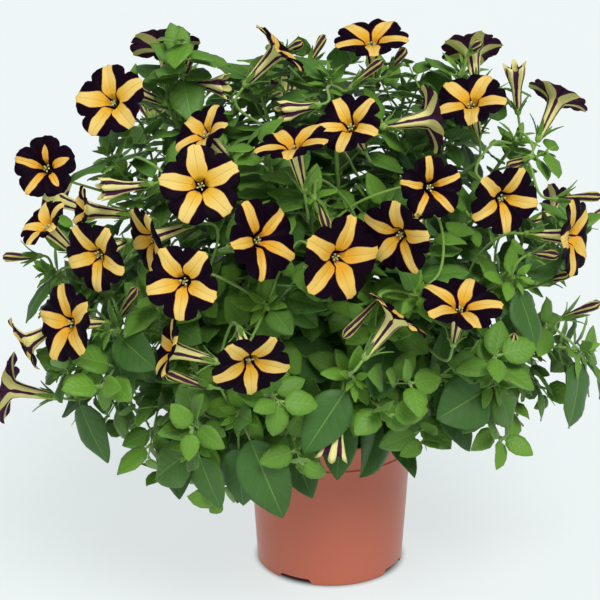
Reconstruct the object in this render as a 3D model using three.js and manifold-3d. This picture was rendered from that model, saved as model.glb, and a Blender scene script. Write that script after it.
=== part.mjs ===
// A potted petunia: near-black purple trumpet blooms, each with a five-armed yellow star, on a
// bushy plant of soft green leaves, in a small terracotta-coloured plastic nursery pot.
// Millimetres, +Z up. The origin is the middle of the pot's foot, and the front looks along -Y.
import * as THREE from "three";
import { mergeVertices } from "three/addons/utils/BufferGeometryUtils.js";
import Module from "manifold-3d";

const wasm = await Module();
wasm.setup();

// Driving dimensions

const GAP = 0.3; // clearance where one piece sits in another
const SLIVER = 1e-5; // an overlap smaller than this is only rounding where two faces touch
const STEP_AHEAD = 0.15; // how far each ring of a skin lies ahead of the one before

const POT = {
  height: 115,
  footRadius: 55,
  waistRadius: 60.5, // the tapered wall's top, under the rim band
  bandRadius: 62,
  rimRadius: 65,
  waistHeight: 94,
  bandHeight: 95.5,
  wall: 2,
  hubRadius: 30, // the flat middle that the pot stands on, with the foot ring
  channelHeight: 5, // the raised drain channel between hub and foot ring
  ringWidth: 7,
  sides: 24,
};
const NOTCH = { count: 4, first: 61, width: 29, topWidth: 23, height: 4.5, depth: 9 };
const DRAIN = { count: 4, first: 16, radius: 4, ring: 39 };

const SOIL = { top: 103, crown: 2, sides: 12, holeDepth: 24 };

// Shoots have four sides. A site is a short stretch of shoot that carries leaves and stalks.
// Shares are parts of a shoot's length.
const SHOOT = {
  footRadius: 2.8,
  tipRadius: 1.4,
  levelAt: 200, // a shoot that ends at this height ends level
  perDegree: 2.4, // each degree more rise needs this much more height
  steepest: 75,
  lowest: -35,
  upright: 30, // a shoot leaves its foot straight for this much and a share of its span
  uprightShare: 0.15,
  endShare: 0.36, // its end is straight over this share
  bareShares: [0.12, 0.225],
  firstSite: 0.3,
  lastSite: 0.97,
  siteLength: 3,
  spacing: 33,
  slant: 0.7, // how far a second shoot leans along the first where it leaves it
};

// A stalk from a shoot to a flower. Shares are parts of its reach.
const STALK = {
  radius: 1.2,
  length: 34,
  least: 16,
  slant: 0.8,
  leaveShare: 0.35,
  arriveShare: 0.4,
  bowAtEnd: 0.3,
  mostBow: 0.6,
  ringShares: [0.4, 0.9],
  turnCost: 24, // what it gives up in length to leave from the side that faces its flower
  clearance: 0.4, // kept free round it
};

// A bloom is a slim tube that flares into a flat limb with five lobes
const BLOOM = {
  lobes: 5,
  throatDepth: 14,
  throatRadius: 6.2,
  flareDepth: 4.5,
  shoulder: 0.97, // the lobe's rounded sides, as a share of its tip
  notch: 0.86, // where two lobes meet
  thickness: 0.8,
  ruffle: 1.1,
  tubeLength: 36,
  tubeEndRadius: 2.2,
};

// The cup of five sepals that holds the end of a bloom's tube
const CALYX = {
  floor: 1.5,
  floorRadius: 2.7,
  backRadius: 3.9,
  toothRadius: 5.2,
  notchRadius: 4.4,
  tooth: 9,
  notch: 3,
  back: 7, // where its stalk ends, behind its floor
};

// Circles along a furled bud and a half-open trumpet: share of its length, radius
const BUD = [
  [0.12, 2.6],
  [0.7, 3.2],
];
const TRUMPET = [
  [0.1, 2.8],
  [0.6, 3.8],
];
const TRUMPET_THROAT = 0.78;

const LEAF = {
  length: 56,
  width: 33,
  thickness: 0.8,
  petiole: 0.14, // bare share of a leaf's reach
  longPetiole: 0.9, // share of a longer petiole where its last ring stands
  petioleWidth: 2,
  droop: [0.12, 0.34],
  pull: 0.2, // how much a drooping leaf draws back
  sizes: [1.08, 0.62], // at the foot and the end of a shoot
  spread: [0.85, 1.15],
  broadDroop: 0.16,
  hangBelow: 200, // leaves that grow lower than this hang more
  sag: [0.1, 0.5],
  aligned: 0.88, // a leaf that lines up less than this with its side has a neck
  neck: 0.07,
  neckRadius: 1.3,
  clearance: 0.35, // kept free round a blade
  turnCost: 60, // what a broad leaf gives up in nearness to grow from the side that faces its way
  stations: [
    { along: 0.08, width: 0.62 },
    { along: 0.38, width: 1 },
    { along: 0.72, width: 0.74 },
  ],
};

const PLANT_MIDDLE = new THREE.Vector3(-18, 0, 190);

// The plant, stem by stem. Each stem stands at its foot in the soil and ends in one or more
// shoots. It carries blooms, furled buds, half-open trumpets and broad leaves at hand-set places.
// A bloom's "at" is the middle of its limb, and "look" is its bearing from the front and its rise
// in degrees. "turn" rolls its star, and "size" is the limb's radius. A bud runs from "at" to "tip".
const PLANT = [
  {
    foot: [-20, 8],
    shoots: [[-113, 5, 378]],
    blooms: [{ at: [-119, 12, 397], look: [-173, 50], turn: 20, size: 25.5 }],
    trumpets: [
      { at: [-116, -22, 361], tip: [-150, -24, 375], size: 7 },
      { at: [-98, -10, 372], tip: [-73, -18, 373], size: 8 },
    ],
    buds: [{ at: [-103, -6, 375], tip: [-99, -10, 395] }],
    broadLeaves: [],
  },
  {
    foot: [-36, -2],
    shoots: [[-160, -30, 328]],
    blooms: [
      { at: [-155, -39, 368], look: [-25, 31], turn: 19, size: 26.5 },
      { at: [-200, -53, 324], look: [-9, 26], turn: 5, size: 22.2 },
    ],
    trumpets: [{ at: [-122, -104, 327], tip: [-158, -118, 327], size: 6.5 }],
    buds: [],
    broadLeaves: [],
  },
  {
    foot: [-6, 8],
    shoots: [[-54, -10, 380]],
    blooms: [
      { at: [-89, -106, 366], look: [-52, 47], turn: 8, size: 21.3 },
      { at: [-35, -35, 405], look: [96, 46], turn: 0, size: 22.5 },
    ],
    trumpets: [],
    buds: [{ at: [-34, 8, 389], tip: [-21, 6, 399] }],
    broadLeaves: [],
  },
  {
    foot: [7, 0],
    shoots: [[-2, -20, 382]],
    blooms: [
      { at: [9, -102, 370], look: [-28, 47], turn: 42, size: 23 },
      { at: [27, -7, 406], look: [-15, 74], turn: 54, size: 26.6 },
      { at: [-28, -136, 367], look: [-55, 75], turn: 11, size: 25 },
    ],
    trumpets: [{ at: [-10, -68, 372], tip: [-38, -80, 370], size: 6 }],
    buds: [
      { at: [12, -42, 377], tip: [34, -44, 398] },
      { at: [40, -8, 380], tip: [51, -10, 398] },
    ],
    broadLeaves: [],
  },
  {
    foot: [20, 6],
    shoots: [[92, -2, 383]],
    blooms: [
      { at: [99, 14, 393], look: [-174, 45], turn: 10, size: 22.4 },
      { at: [93, -60, 375], look: [-27, 61], turn: 61, size: 25.4 },
      { at: [68, -78, 366], look: [104, 6], turn: 30, size: 24 },
    ],
    trumpets: [],
    buds: [{ at: [96, -4, 392], tip: [104, -6, 402] }],
    broadLeaves: [],
  },
  {
    foot: [36, 2],
    shoots: [[134, -8, 334]],
    blooms: [
      { at: [162, 4, 361], look: [137, 51], turn: 0, size: 23.2 },
      { at: [114, -120, 320], look: [19, -4], turn: 44, size: 24.2 },
    ],
    trumpets: [{ at: [132, -6, 350], tip: [128, -10, 388], size: 7 }],
    buds: [
      { at: [155, -45, 298], tip: [188, -50, 302] },
      { at: [140, -30, 325], tip: [122, -40, 320] },
    ],
    broadLeaves: [],
  },
  {
    foot: [-48, -4],
    shoots: [[-203, -52, 246]],
    blooms: [
      { at: [-171, -110, 311], look: [-73, 11], turn: 1, size: 16.4 },
      { at: [-199, -92, 297], look: [-60, 48], turn: 54, size: 19.2 },
    ],
    trumpets: [],
    buds: [{ at: [-204, -62, 262], tip: [-230, -66, 262] }],
    broadLeaves: [],
  },
  {
    foot: [-38, -20],
    shoots: [[-155, -120, 228]],
    blooms: [
      { at: [-160, -136, 286], look: [-34, -2], turn: 40, size: 24.5 },
      { at: [-126, -134, 297], look: [-59, -8], turn: 44, size: 23.5 },
      { at: [-181, -138, 240], look: [-47, 14], turn: 22, size: 26.8 },
    ],
    trumpets: [],
    buds: [{ at: [-146, -112, 234], tip: [-132, -128, 262] }],
    broadLeaves: [
      { tip: [-119, -150, 212], blade: 48, width: 30 },
      { tip: [-138, -135, 180], blade: 42, width: 26 },
    ],
  },
  {
    foot: [-47, -20],
    shoots: [[-190, -92, 186]],
    blooms: [
      { at: [-213, -112, 214], look: [-69, -24], turn: 12, size: 20.3 },
      { at: [-230, -83, 171], look: [-98, 8], turn: 30, size: 25.8 },
    ],
    trumpets: [],
    buds: [],
    broadLeaves: [
      { tip: [-108, -112, 98], blade: 66, width: 42 },
      { tip: [-157, -115, 127], blade: 46, width: 28 },
      { tip: [-185, -92, 141], blade: 40, width: 27 },
    ],
  },
  {
    foot: [-6, -18],
    shoots: [[-16, -118, 326]],
    blooms: [
      { at: [-88, -138, 337], look: [0, 25], turn: 10, size: 26.7 },
      { at: [-46, -166, 309], look: [43, 22], turn: 15, size: 27.1 },
      { at: [64, -136, 334], look: [11, 14], turn: 4, size: 21 },
    ],
    trumpets: [],
    buds: [{ at: [-14, -122, 324], tip: [-4, -134, 306] }],
    broadLeaves: [],
  },
  {
    foot: [-18, -30],
    shoots: [[-46, -145, 256]],
    blooms: [
      { at: [4, -173, 297], look: [33, 0], turn: 54, size: 29.3 },
      { at: [-100, -175, 282], look: [-16, 10], turn: 36, size: 25 },
      { at: [-112, -163, 232], look: [-80, 19], turn: 20, size: 22.5 },
    ],
    trumpets: [],
    buds: [{ at: [-82, -158, 202], tip: [-112, -168, 216] }],
    broadLeaves: [],
  },
  {
    foot: [12, -30],
    shoots: [[57, -140, 262]],
    blooms: [
      { at: [39, -162, 308], look: [-35, -9], turn: 68, size: 26 },
      { at: [83, -166, 266], look: [19, 71], turn: 38, size: 27.3 },
    ],
    trumpets: [],
    buds: [{ at: [30, -146, 262], tip: [6, -160, 238] }],
    broadLeaves: [{ tip: [27, -164, 196], blade: 52, width: 32 }],
  },
  {
    foot: [36, -16],
    shoots: [[126, -106, 262]],
    blooms: [{ at: [166, -96, 287], look: [63, 5], turn: 9, size: 27 }],
    trumpets: [],
    buds: [
      { at: [133, -102, 276], tip: [152, -112, 280] },
      { at: [148, -84, 250], tip: [162, -92, 260] },
    ],
    broadLeaves: [
      { tip: [139, -118, 212], blade: 50, width: 31 },
      { tip: [163, -90, 217], blade: 46, width: 30 },
    ],
  },
  {
    foot: [-2, -46],
    shoots: [[14, -156, 206]],
    blooms: [{ at: [42, -166, 258], look: [108, 51], turn: 24, size: 23.9 }],
    trumpets: [{ at: [6, -152, 196], tip: [-2, -160, 148], size: 9 }],
    buds: [],
    broadLeaves: [
      { tip: [-16, -140, 153], blade: 52, width: 30 },
      { tip: [3, -132, 122], blade: 46, width: 26 },
    ],
  },
  {
    foot: [-20, -46],
    shoots: [[-66, -152, 178]],
    blooms: [{ at: [-54, -191, 230], look: [15, -22], turn: 41, size: 26.2 }],
    trumpets: [],
    buds: [],
    broadLeaves: [
      { tip: [-34, -150, 102], blade: 64, width: 35 },
      { tip: [-14, -128, 106], blade: 60, width: 32 },
      { tip: [-62, -136, 104], blade: 50, width: 28 },
      { tip: [-73, -158, 128], blade: 44, width: 24 },
    ],
  },
  {
    foot: [-34, -36],
    shoots: [[-96, -142, 148]],
    blooms: [],
    trumpets: [],
    buds: [],
    broadLeaves: [
      { tip: [-124, -122, 118], blade: 52, width: 34 },
      { tip: [-92, -138, 104], blade: 42, width: 25 },
    ],
  },
  {
    foot: [22, -44],
    shoots: [[114, -126, 190]],
    blooms: [],
    trumpets: [],
    buds: [{ at: [118, -130, 206], tip: [121, -136, 232] }],
    broadLeaves: [
      { tip: [70, -142, 172], blade: 44, width: 40 },
      { tip: [114, -126, 152], blade: 40, width: 27 },
      { tip: [58, -106, 112], blade: 52, width: 22 },
      { tip: [98, -92, 126], blade: 54, width: 34 },
    ],
  },
  {
    foot: [46, -12],
    shoots: [[182, -56, 188]],
    blooms: [],
    trumpets: [],
    buds: [{ at: [158, -92, 226], tip: [182, -108, 244] }],
    broadLeaves: [
      { tip: [136, -106, 176], blade: 50, width: 34 },
      { tip: [168, -84, 140], blade: 54, width: 36 },
    ],
  },
  {
    foot: [-34, 24],
    shoots: [
      [-128, 105, 305],
      [-182, 62, 190],
      [-102, 130, 222],
      [-76, 66, 350],
    ],
    blooms: [
      { at: [-120, 140, 320], look: [-150, 25], turn: 30, size: 25 },
      { at: [-212, 95, 255], look: [-112, 12], turn: 8, size: 24 },
    ],
    trumpets: [],
    buds: [{ at: [-132, 104, 308], tip: [-150, 118, 330] }],
    broadLeaves: [],
  },
  {
    foot: [-4, 38],
    shoots: [
      [-20, 120, 350],
      [-50, 160, 205],
      [36, 158, 256],
    ],
    blooms: [
      { at: [-30, 160, 325], look: [175, 35], turn: 50, size: 26 },
      { at: [-60, 190, 230], look: [-170, 5], turn: 18, size: 25 },
    ],
    trumpets: [],
    buds: [{ at: [-16, 122, 352], tip: [-4, 134, 374] }],
    broadLeaves: [],
  },
  {
    foot: [34, 26],
    shoots: [
      [98, 108, 305],
      [120, 118, 180],
      [178, 40, 245],
      [56, 64, 352],
    ],
    blooms: [
      { at: [90, 140, 310], look: [150, 30], turn: 64, size: 25 },
      { at: [180, 105, 240], look: [120, 5], turn: 36, size: 24 },
    ],
    trumpets: [],
    buds: [{ at: [182, 40, 248], tip: [206, 44, 262] }],
    broadLeaves: [],
  },
];

// Materials, coloured as the real surfaces

const materials = {
  pot: new THREE.MeshStandardMaterial({ color: 0xb9664f, roughness: 0.45, metalness: 0 }),
  soil: new THREE.MeshStandardMaterial({ color: 0x2e2019, roughness: 0.95, metalness: 0 }),
  plant: new THREE.MeshStandardMaterial({ color: 0x4d8040, roughness: 0.65, metalness: 0 }),
  bloom: new THREE.MeshStandardMaterial({ color: 0x2a1024, roughness: 0.6, metalness: 0 }),
};

// Small helpers

const UP = new THREE.Vector3(0, 0, 1);
const vector = (list) => new THREE.Vector3(...list);
const radians = THREE.MathUtils.degToRad;

// A repeatable draw from 0 to 1 for a pair of numbers
function draw(first, second) {
  const wave = Math.sin(first * 12.9898 + second * 78.233) * 43758.5453;
  return wave - Math.floor(wave);
}

// The unit vector nearest to "wanted" that is square to "axis"
function squareTo(axis, wanted) {
  return wanted.clone().addScaledVector(axis, -wanted.dot(axis)).normalize();
}

// A point from a centre and two axes
function offset(centre, first, a, second, b) {
  return centre.clone().addScaledVector(first, a).addScaledVector(second, b);
}

// A ring of points round a centre, counterclockwise about first x second
function ring(centre, first, second, radii) {
  return radii.map((radius, i) => {
    const angle = (2 * Math.PI * i) / radii.length;
    return offset(centre, first, radius * Math.cos(angle), second, radius * Math.sin(angle));
  });
}

const evenRing = (centre, first, second, radius, count) =>
  ring(centre, first, second, Array(count).fill(radius));

function solidOf(positions, faces) {
  const vertProperties = new Float32Array(positions);
  const triVerts = new Uint32Array(faces);
  return new wasm.Manifold(new wasm.Mesh({ numProp: 3, vertProperties, triVerts }));
}

// A three.js geometry as a solid, with its shared corners merged
function solidOfGeometry(geometry) {
  geometry.deleteAttribute("normal");
  geometry.deleteAttribute("uv");
  const merged = mergeVertices(geometry, 0.001);
  const corners = merged.index.array;
  const faces = [];
  for (let i = 0; i < corners.length; i += 3) {
    const [a, b, c] = corners.slice(i, i + 3);
    if (a !== b && b !== c && c !== a) faces.push(a, b, c);
  }
  return solidOf(merged.attributes.position.array, faces);
}

// Faces between two rings of any sizes, walking round both at the same rate. At a tie the ring
// with fewer points steps first, so both sides of a thin blade are split alike.
function zip(a, b) {
  const faces = [];
  const stepsA = a.length > 1 ? a.length : 0;
  const stepsB = b.length > 1 ? b.length : 0;
  let i = 0;
  let j = 0;
  while (i < stepsA || j < stepsB) {
    const lead = (i + 1) * b.length - (j + 1) * a.length;
    const stepA = j >= stepsB || (i < stepsA && (lead < 0 || (lead === 0 && a.length <= b.length)));
    if (stepA) {
      faces.push(a[i % a.length], a[(i + 1) % a.length], b[j % b.length]);
      i += 1;
    } else {
      faces.push(a[i % a.length], b[(j + 1) % b.length], b[j % b.length]);
      j += 1;
    }
  }
  return faces;
}

// A skin is a surface that grows ring by ring. A ring is held as the numbers of its corners.
const newSkin = () => ({ corners: [], faces: [] });

const addRing = (skin, points) => points.map((point) => skin.corners.push(point) - 1);

function closeStart(skin, root) {
  for (let i = 1; i < root.length - 1; i += 1) skin.faces.push(root[0], root[i + 1], root[i]);
}

// Grow through rings and close the end. A ring of one point is a tip.
function growRings(skin, root, rings) {
  let last = root;
  rings.forEach((points) => {
    const next = addRing(skin, points);
    skin.faces.push(...zip(last.length === 4 ? nearestTurn(skin, last, next) : last, next));
    last = next;
  });
  for (let i = 1; i < last.length - 1; i += 1) skin.faces.push(last[0], last[i], last[i + 1]);
}

// A ring of four, turned to start nearest to the start of the next ring
function nearestTurn(skin, last, next) {
  const cost = (turn) =>
    last.reduce((sum, _, i) => {
      const corner = skin.corners[last[(i + turn) % last.length]];
      const partner = skin.corners[next[Math.floor((i * next.length) / last.length)]];
      return sum + corner.distanceToSquared(partner);
    }, 0);
  const turns = last.map((_, turn) => turn);
  const best = turns.reduce((a, b) => (cost(b) < cost(a) ? b : a));
  return last.map((_, i) => last[(i + best) % last.length]);
}

function solidOfSkin(skin) {
  return solidOf(skin.corners.flatMap((point) => point.toArray()), skin.faces);
}

// A closed skin through rings of points
function skinOf(rings) {
  const skin = newSkin();
  const root = addRing(skin, rings[0]);
  closeStart(skin, root);
  growRings(skin, root, rings.slice(1));
  return skin;
}

const loft = (rings) => solidOfSkin(skinOf(rings));

// Rings square to a run of points, kept from twisting. The last point only sets the direction.
function ringsAlong(points, radii, count, startSide) {
  let side = startSide;
  return radii.map((radius, i) => {
    const before = points[Math.max(i - 1, 0)];
    const tangent = points[i + 1].clone().sub(before).normalize();
    side = squareTo(tangent, side);
    return evenRing(points[i], side, tangent.clone().cross(side), radius, count);
  });
}

function bezier(corners, t) {
  const s = 1 - t;
  const weights = [s * s * s, 3 * s * s * t, 3 * s * t * t, t * t * t];
  const point = new THREE.Vector3();
  corners.forEach((corner, i) => point.addScaledVector(corner, weights[i]));
  return point;
}

const blend = (from, to, share) => from + (to - from) * share;

// The pot

function lathe(profile, sides) {
  const points = profile.map(([radius, height]) => new THREE.Vector2(radius, height));
  const geometry = new THREE.LatheGeometry(points, sides);
  geometry.rotateX(Math.PI / 2);
  return solidOfGeometry(geometry);
}

function turned(geometry, degrees) {
  geometry.rotateZ(radians(degrees));
  return solidOfGeometry(geometry);
}

// A trapezoid block through the foot ring
function notchBlock(bearing) {
  const shape = new THREE.Shape();
  const slope = (NOTCH.width - NOTCH.topWidth) / 2 / NOTCH.height;
  shape.moveTo(-NOTCH.width / 2 - slope, -1);
  shape.lineTo(NOTCH.width / 2 + slope, -1);
  shape.lineTo(NOTCH.topWidth / 2, NOTCH.height);
  shape.lineTo(-NOTCH.topWidth / 2, NOTCH.height);
  shape.closePath();
  const geometry = new THREE.ExtrudeGeometry(shape, { depth: 2 * NOTCH.depth, bevelEnabled: false });
  geometry.rotateX(Math.PI / 2);
  geometry.translate(0, POT.footRadius + NOTCH.depth, 0);
  return turned(geometry, bearing);
}

function drainHole(bearing) {
  const geometry = new THREE.CylinderGeometry(DRAIN.radius, DRAIN.radius, 4 * POT.channelHeight, 6);
  geometry.rotateX(Math.PI / 2);
  geometry.translate(0, DRAIN.ring, 0);
  return turned(geometry, bearing);
}

const floorHeight = POT.channelHeight + POT.wall;
const channelInner = POT.hubRadius + 1.5;
const channelOuter = POT.footRadius - POT.ringWidth - 1.5;

function potSolid() {
  const { footRadius, waistRadius, bandRadius, rimRadius, waistHeight, bandHeight, wall } = POT;
  const outside = [
    [0, 0],
    [POT.hubRadius, 0],
    [channelInner, POT.channelHeight],
    [channelOuter, POT.channelHeight],
    [footRadius - POT.ringWidth, 0],
    [footRadius, 0],
    [waistRadius, waistHeight],
    [bandRadius, bandHeight],
    [rimRadius, POT.height],
  ];
  const inside = [
    [rimRadius - wall, POT.height],
    [bandRadius - wall, bandHeight + 1],
    [waistRadius - wall, waistHeight - 1],
    [footRadius - wall, floorHeight],
    [channelInner, floorHeight],
    [POT.hubRadius - 0.5, wall],
    [0, wall],
  ];
  let solid = lathe([...outside, ...inside], POT.sides);
  for (let i = 0; i < NOTCH.count; i += 1) {
    solid = solid.subtract(notchBlock(NOTCH.first + (360 / NOTCH.count) * i));
  }
  for (let i = 0; i < DRAIN.count; i += 1) {
    solid = solid.subtract(drainHole(DRAIN.first + (360 / DRAIN.count) * i));
  }
  return solid;
}

// The soil, with a plain hole for each stem

function stemHole([x, y]) {
  const radius = SHOOT.footRadius + GAP / Math.cos(Math.PI / 4);
  const heights = [SOIL.top - SOIL.holeDepth - GAP, SOIL.top + 2 * SOIL.crown + 1];
  return loft(
    heights.map((height) => {
      const centre = new THREE.Vector3(x, y, height);
      return evenRing(centre, new THREE.Vector3(1, 0, 0), new THREE.Vector3(0, 1, 0), radius, 4);
    }),
  );
}

function soilSolid() {
  const { wall } = POT;
  const profile = [
    [0, wall + GAP],
    [POT.hubRadius - 1, wall + GAP],
    [channelInner - 0.5, floorHeight + GAP],
    [POT.footRadius - wall - GAP, floorHeight + GAP],
    [POT.waistRadius - wall - GAP, POT.waistHeight - 1],
    [POT.bandRadius - wall - GAP, SOIL.top],
    [0, SOIL.top + SOIL.crown],
  ];
  let solid = lathe(profile, SOIL.sides);
  PLANT.forEach((stem) => {
    solid = solid.subtract(stemHole(stem.foot));
  });
  return solid;
}

// Stems: each rises straight out of its hole, then leans out to its shoot's end. High shoots
// end upright, and low ones end level or hang. A second shoot leaves the first one near its foot.

function shootCurve(start, end, leave = UP) {
  const tip = vector(end);
  const span = tip.distanceTo(start);
  const out = new THREE.Vector3(tip.x - start.x, tip.y - start.y, 0).normalize();
  const wanted = (tip.z - SHOOT.levelAt) / SHOOT.perDegree;
  const rise = radians(THREE.MathUtils.clamp(wanted, SHOOT.lowest, SHOOT.steepest));
  const lean = out.multiplyScalar(Math.cos(rise)).addScaledVector(UP, Math.sin(rise));
  const first = start.clone().addScaledVector(leave, SHOOT.upright + span * SHOOT.uprightShare);
  const last = tip.clone().addScaledVector(lean, -span * SHOOT.endShare);
  return [start, first, last, tip];
}

// A shoot as rings along its curve. Each site is a short stretch between two rings, whose four
// sides can each carry a leaf or a stalk.
function makeShoot(curve, bottom, startSide) {
  const length = curve[0].distanceTo(curve[3]);
  const siteCount = Math.max(3, Math.round((length * (1 - SHOOT.firstSite)) / SHOOT.spacing));
  const half = SHOOT.siteLength / 2 / length;
  const shares = bottom ? [0, ...SHOOT.bareShares] : [...SHOOT.bareShares];
  const siteLevels = [];
  for (let i = 0; i < siteCount; i += 1) {
    const share = blend(SHOOT.firstSite, SHOOT.lastSite, i / (siteCount - 1));
    shares.push(share - half, share + half);
    siteLevels.push(shares.length - 1);
  }
  const points = shares.map((share) => bezier(curve, share));
  const radii = shares.map((share) => blend(SHOOT.footRadius, SHOOT.tipRadius, share));
  if (bottom) {
    points.unshift(bottom);
    radii.unshift(SHOOT.footRadius);
  }
  const rings = ringsAlong([...points, curve[3]], radii, 4, startSide);
  const sites = siteLevels.map((level) => {
    const upper = bottom ? level + 1 : level;
    return { upper, share: shares[level], sides: sidesBetween(rings[upper - 1], rings[upper]) };
  });
  return { curve, rings, sites };
}

// The four flat sides between two rings: middle, outward direction and corners
function sidesBetween(lower, upper) {
  return lower.map((corner, i) => {
    const next = (i + 1) % lower.length;
    const corners = [corner, lower[next], upper[next], upper[i]];
    const middle = new THREE.Vector3();
    corners.forEach((point) => middle.addScaledVector(point, 0.25));
    const across = corners[2].clone().sub(corners[0]);
    const normal = across.cross(corners[3].clone().sub(corners[1])).normalize();
    const grow = upper[i].clone().sub(corner).normalize();
    return { middle, normal, grow, corners, piece: null };
  });
}

// Blooms and their calyces share one frame: the axis that the bloom looks along, its top
// direction and the side that completes them.

function bloomFrame({ at, look, turn }) {
  const [bearing, rise] = look.map(radians);
  const axis = new THREE.Vector3(
    Math.sin(bearing) * Math.cos(rise),
    -Math.cos(bearing) * Math.cos(rise),
    Math.sin(rise),
  );
  const level = squareTo(axis, UP);
  const across = axis.clone().cross(level);
  const roll = radians(turn);
  const top = offset(new THREE.Vector3(), level, Math.cos(roll), across, Math.sin(roll));
  const side = axis.clone().cross(top);
  const behind = (depth) => vector(at).addScaledVector(axis, -depth);
  return { axis, top, side, behind };
}

// The points of the limb's edge: a lobe's tip, its shoulder, the notch, the next shoulder
function limbEdge(bloom, frame, key) {
  const shares = [1, BLOOM.shoulder, BLOOM.notch, BLOOM.shoulder];
  const count = BLOOM.lobes * shares.length;
  const front = [];
  const back = [];
  for (let i = 0; i < count; i += 1) {
    const radius = bloom.size * shares[i % shares.length];
    const angle = (2 * Math.PI * i) / count;
    const depth = BLOOM.ruffle * (1 - 2 * draw(key, i));
    const first = radius * Math.cos(angle);
    const second = radius * Math.sin(angle);
    front.push(offset(frame.behind(depth), frame.top, first, frame.side, second));
    back.push(offset(frame.behind(depth + BLOOM.thickness), frame.top, first, frame.side, second));
  }
  return { front, back };
}

function bloomSolid(bloom, frame, key) {
  const { throatRadius, flareDepth, thickness } = BLOOM;
  const circle = (radius, depth) =>
    evenRing(frame.behind(depth), frame.top, frame.side, radius, BLOOM.lobes);
  const edge = limbEdge(bloom, frame, key);
  return loft([
    circle(BLOOM.tubeEndRadius, BLOOM.tubeLength),
    circle(throatRadius + thickness, flareDepth + thickness),
    edge.back,
    edge.front,
    circle(throatRadius, flareDepth),
    [frame.behind(BLOOM.throatDepth)],
  ]);
}

// Flowers, buds and trumpets all stand on a stalk. Each gives the rings that follow the stalk's.

// A cup with five pointed sepals, which holds the end of the bloom's tube
function calyxRings(frame) {
  const floor = BLOOM.tubeLength + GAP;
  const teeth = [];
  for (let i = 0; i < 10; i += 1) {
    const tip = i % 2 === 0;
    const radius = tip ? CALYX.toothRadius : CALYX.notchRadius;
    const angle = (Math.PI * i) / 5;
    const centre = frame.behind(floor - (tip ? CALYX.tooth : CALYX.notch));
    const first = radius * Math.cos(angle);
    const second = radius * Math.sin(angle);
    teeth.push(offset(centre, frame.top, first, frame.side, second));
  }
  const circle = (radius, depth) =>
    evenRing(frame.behind(depth), frame.top, frame.side, radius, 5);
  const back = circle(CALYX.backRadius, floor + CALYX.floor);
  return [back, teeth, circle(CALYX.floorRadius, floor)];
}

// An axis from a bud's foot to its tip, and circles about it
function budFrame(at, tip) {
  const start = vector(at);
  const end = vector(tip);
  const axis = end.clone().sub(start).normalize();
  const first = squareTo(axis, new THREE.Vector3(0.3, -1, 0.2));
  const second = axis.clone().cross(first);
  const point = (share) => start.clone().lerp(end, share);
  const circle = (share, radius, count) => evenRing(point(share), first, second, radius, count);
  return { axis, start, point, circle };
}

// A furled bud, fat in its upper half
function budRings(frame) {
  return [...BUD.map(([share, radius]) => frame.circle(share, radius, 4)), [frame.point(1)]];
}

// A trumpet that has not opened flat yet
function trumpetRings(frame, size) {
  const tube = TRUMPET.map(([share, radius]) => frame.circle(share, radius, 5));
  return [...tube, frame.circle(1, size, 5), [frame.point(TRUMPET_THROAT)]];
}

// A slim stalk from a side of a shoot to the back of a flower, bowed aside if need be
function stalkCurve(side, end, axis, bow) {
  const reach = side.middle.distanceTo(end);
  const leave = side.normal.clone().addScaledVector(side.grow, STALK.slant).normalize();
  const first = side.middle.clone().addScaledVector(leave, reach * STALK.leaveShare).add(bow);
  const last = end.clone().addScaledVector(axis, -reach * STALK.arriveShare);
  last.addScaledVector(bow, STALK.bowAtEnd);
  return [side.middle, first, last, end];
}

function stalkRings(side, curve, grow = 0) {
  const points = [0, ...STALK.ringShares].map((share) => bezier(curve, share));
  const radii = points.map(() => STALK.radius + grow);
  const startSide = side.corners[0].clone().sub(side.middle);
  return ringsAlong([...points, curve[3]], radii, 4, startSide).slice(1);
}

// A leaf: a narrow root, then an oval blade that bends down to its tip. "along" is where it
// points, and "face" is what its upper side looks at.
function leafCentre({ root, along, face, reach, droop }, share) {
  const fall = droop * share * share;
  return offset(root, along, reach * (share - LEAF.pull * fall), face, -reach * fall);
}

function leafRings(leaf, grow = 0) {
  const { along, face, petiole, width } = leaf;
  const side = face.clone().cross(along);
  const half = LEAF.thickness / 2 + grow;
  const rings = [];
  const slab = (middle, edge) => [
    offset(middle, side, edge, face, -half),
    offset(middle, side, edge, face, half),
    offset(middle, side, -edge, face, half),
    offset(middle, side, -edge, face, -half),
  ];
  if (petiole > LEAF.petiole) {
    rings.push(slab(leafCentre(leaf, petiole * LEAF.longPetiole), LEAF.petioleWidth / 2 + grow));
  }
  LEAF.stations.forEach((station) => {
    const middle = leafCentre(leaf, blend(petiole, 1, station.along));
    rings.push(slab(middle, (width / 2) * station.width + grow));
  });
  rings.push([leafCentre(leaf, 1)]);
  return rings;
}

// What a leaf does to stay clear: it swings and lifts about its root, and may be smaller
const BENDS = [
  { swing: 0, lift: 0, size: 1 },
  { swing: 22, lift: 0, size: 1 },
  { swing: -22, lift: 0, size: 1 },
  { swing: 0, lift: 24, size: 1 },
  { swing: 0, lift: -24, size: 1 },
  { swing: 40, lift: 12, size: 0.9 },
  { swing: -40, lift: 12, size: 0.9 },
  { swing: 26, lift: -32, size: 0.85 },
  { swing: -26, lift: -32, size: 0.85 },
  { swing: 50, lift: 30, size: 0.75 },
  { swing: -50, lift: 30, size: 0.75 },
  { swing: 0, lift: 40, size: 0.7 },
];

function bentLeaf(leaf, bend) {
  const swing = radians(bend.swing);
  const lift = radians(bend.lift);
  const side = leaf.face.clone().cross(leaf.along);
  const swung = offset(new THREE.Vector3(), leaf.along, Math.cos(swing), side, Math.sin(swing));
  const along = offset(new THREE.Vector3(), swung, Math.cos(lift), leaf.face, Math.sin(lift));
  const face = squareTo(along, leaf.face);
  return { ...leaf, along, face, reach: leaf.reach * bend.size, width: leaf.width * bend.size };
}

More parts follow.
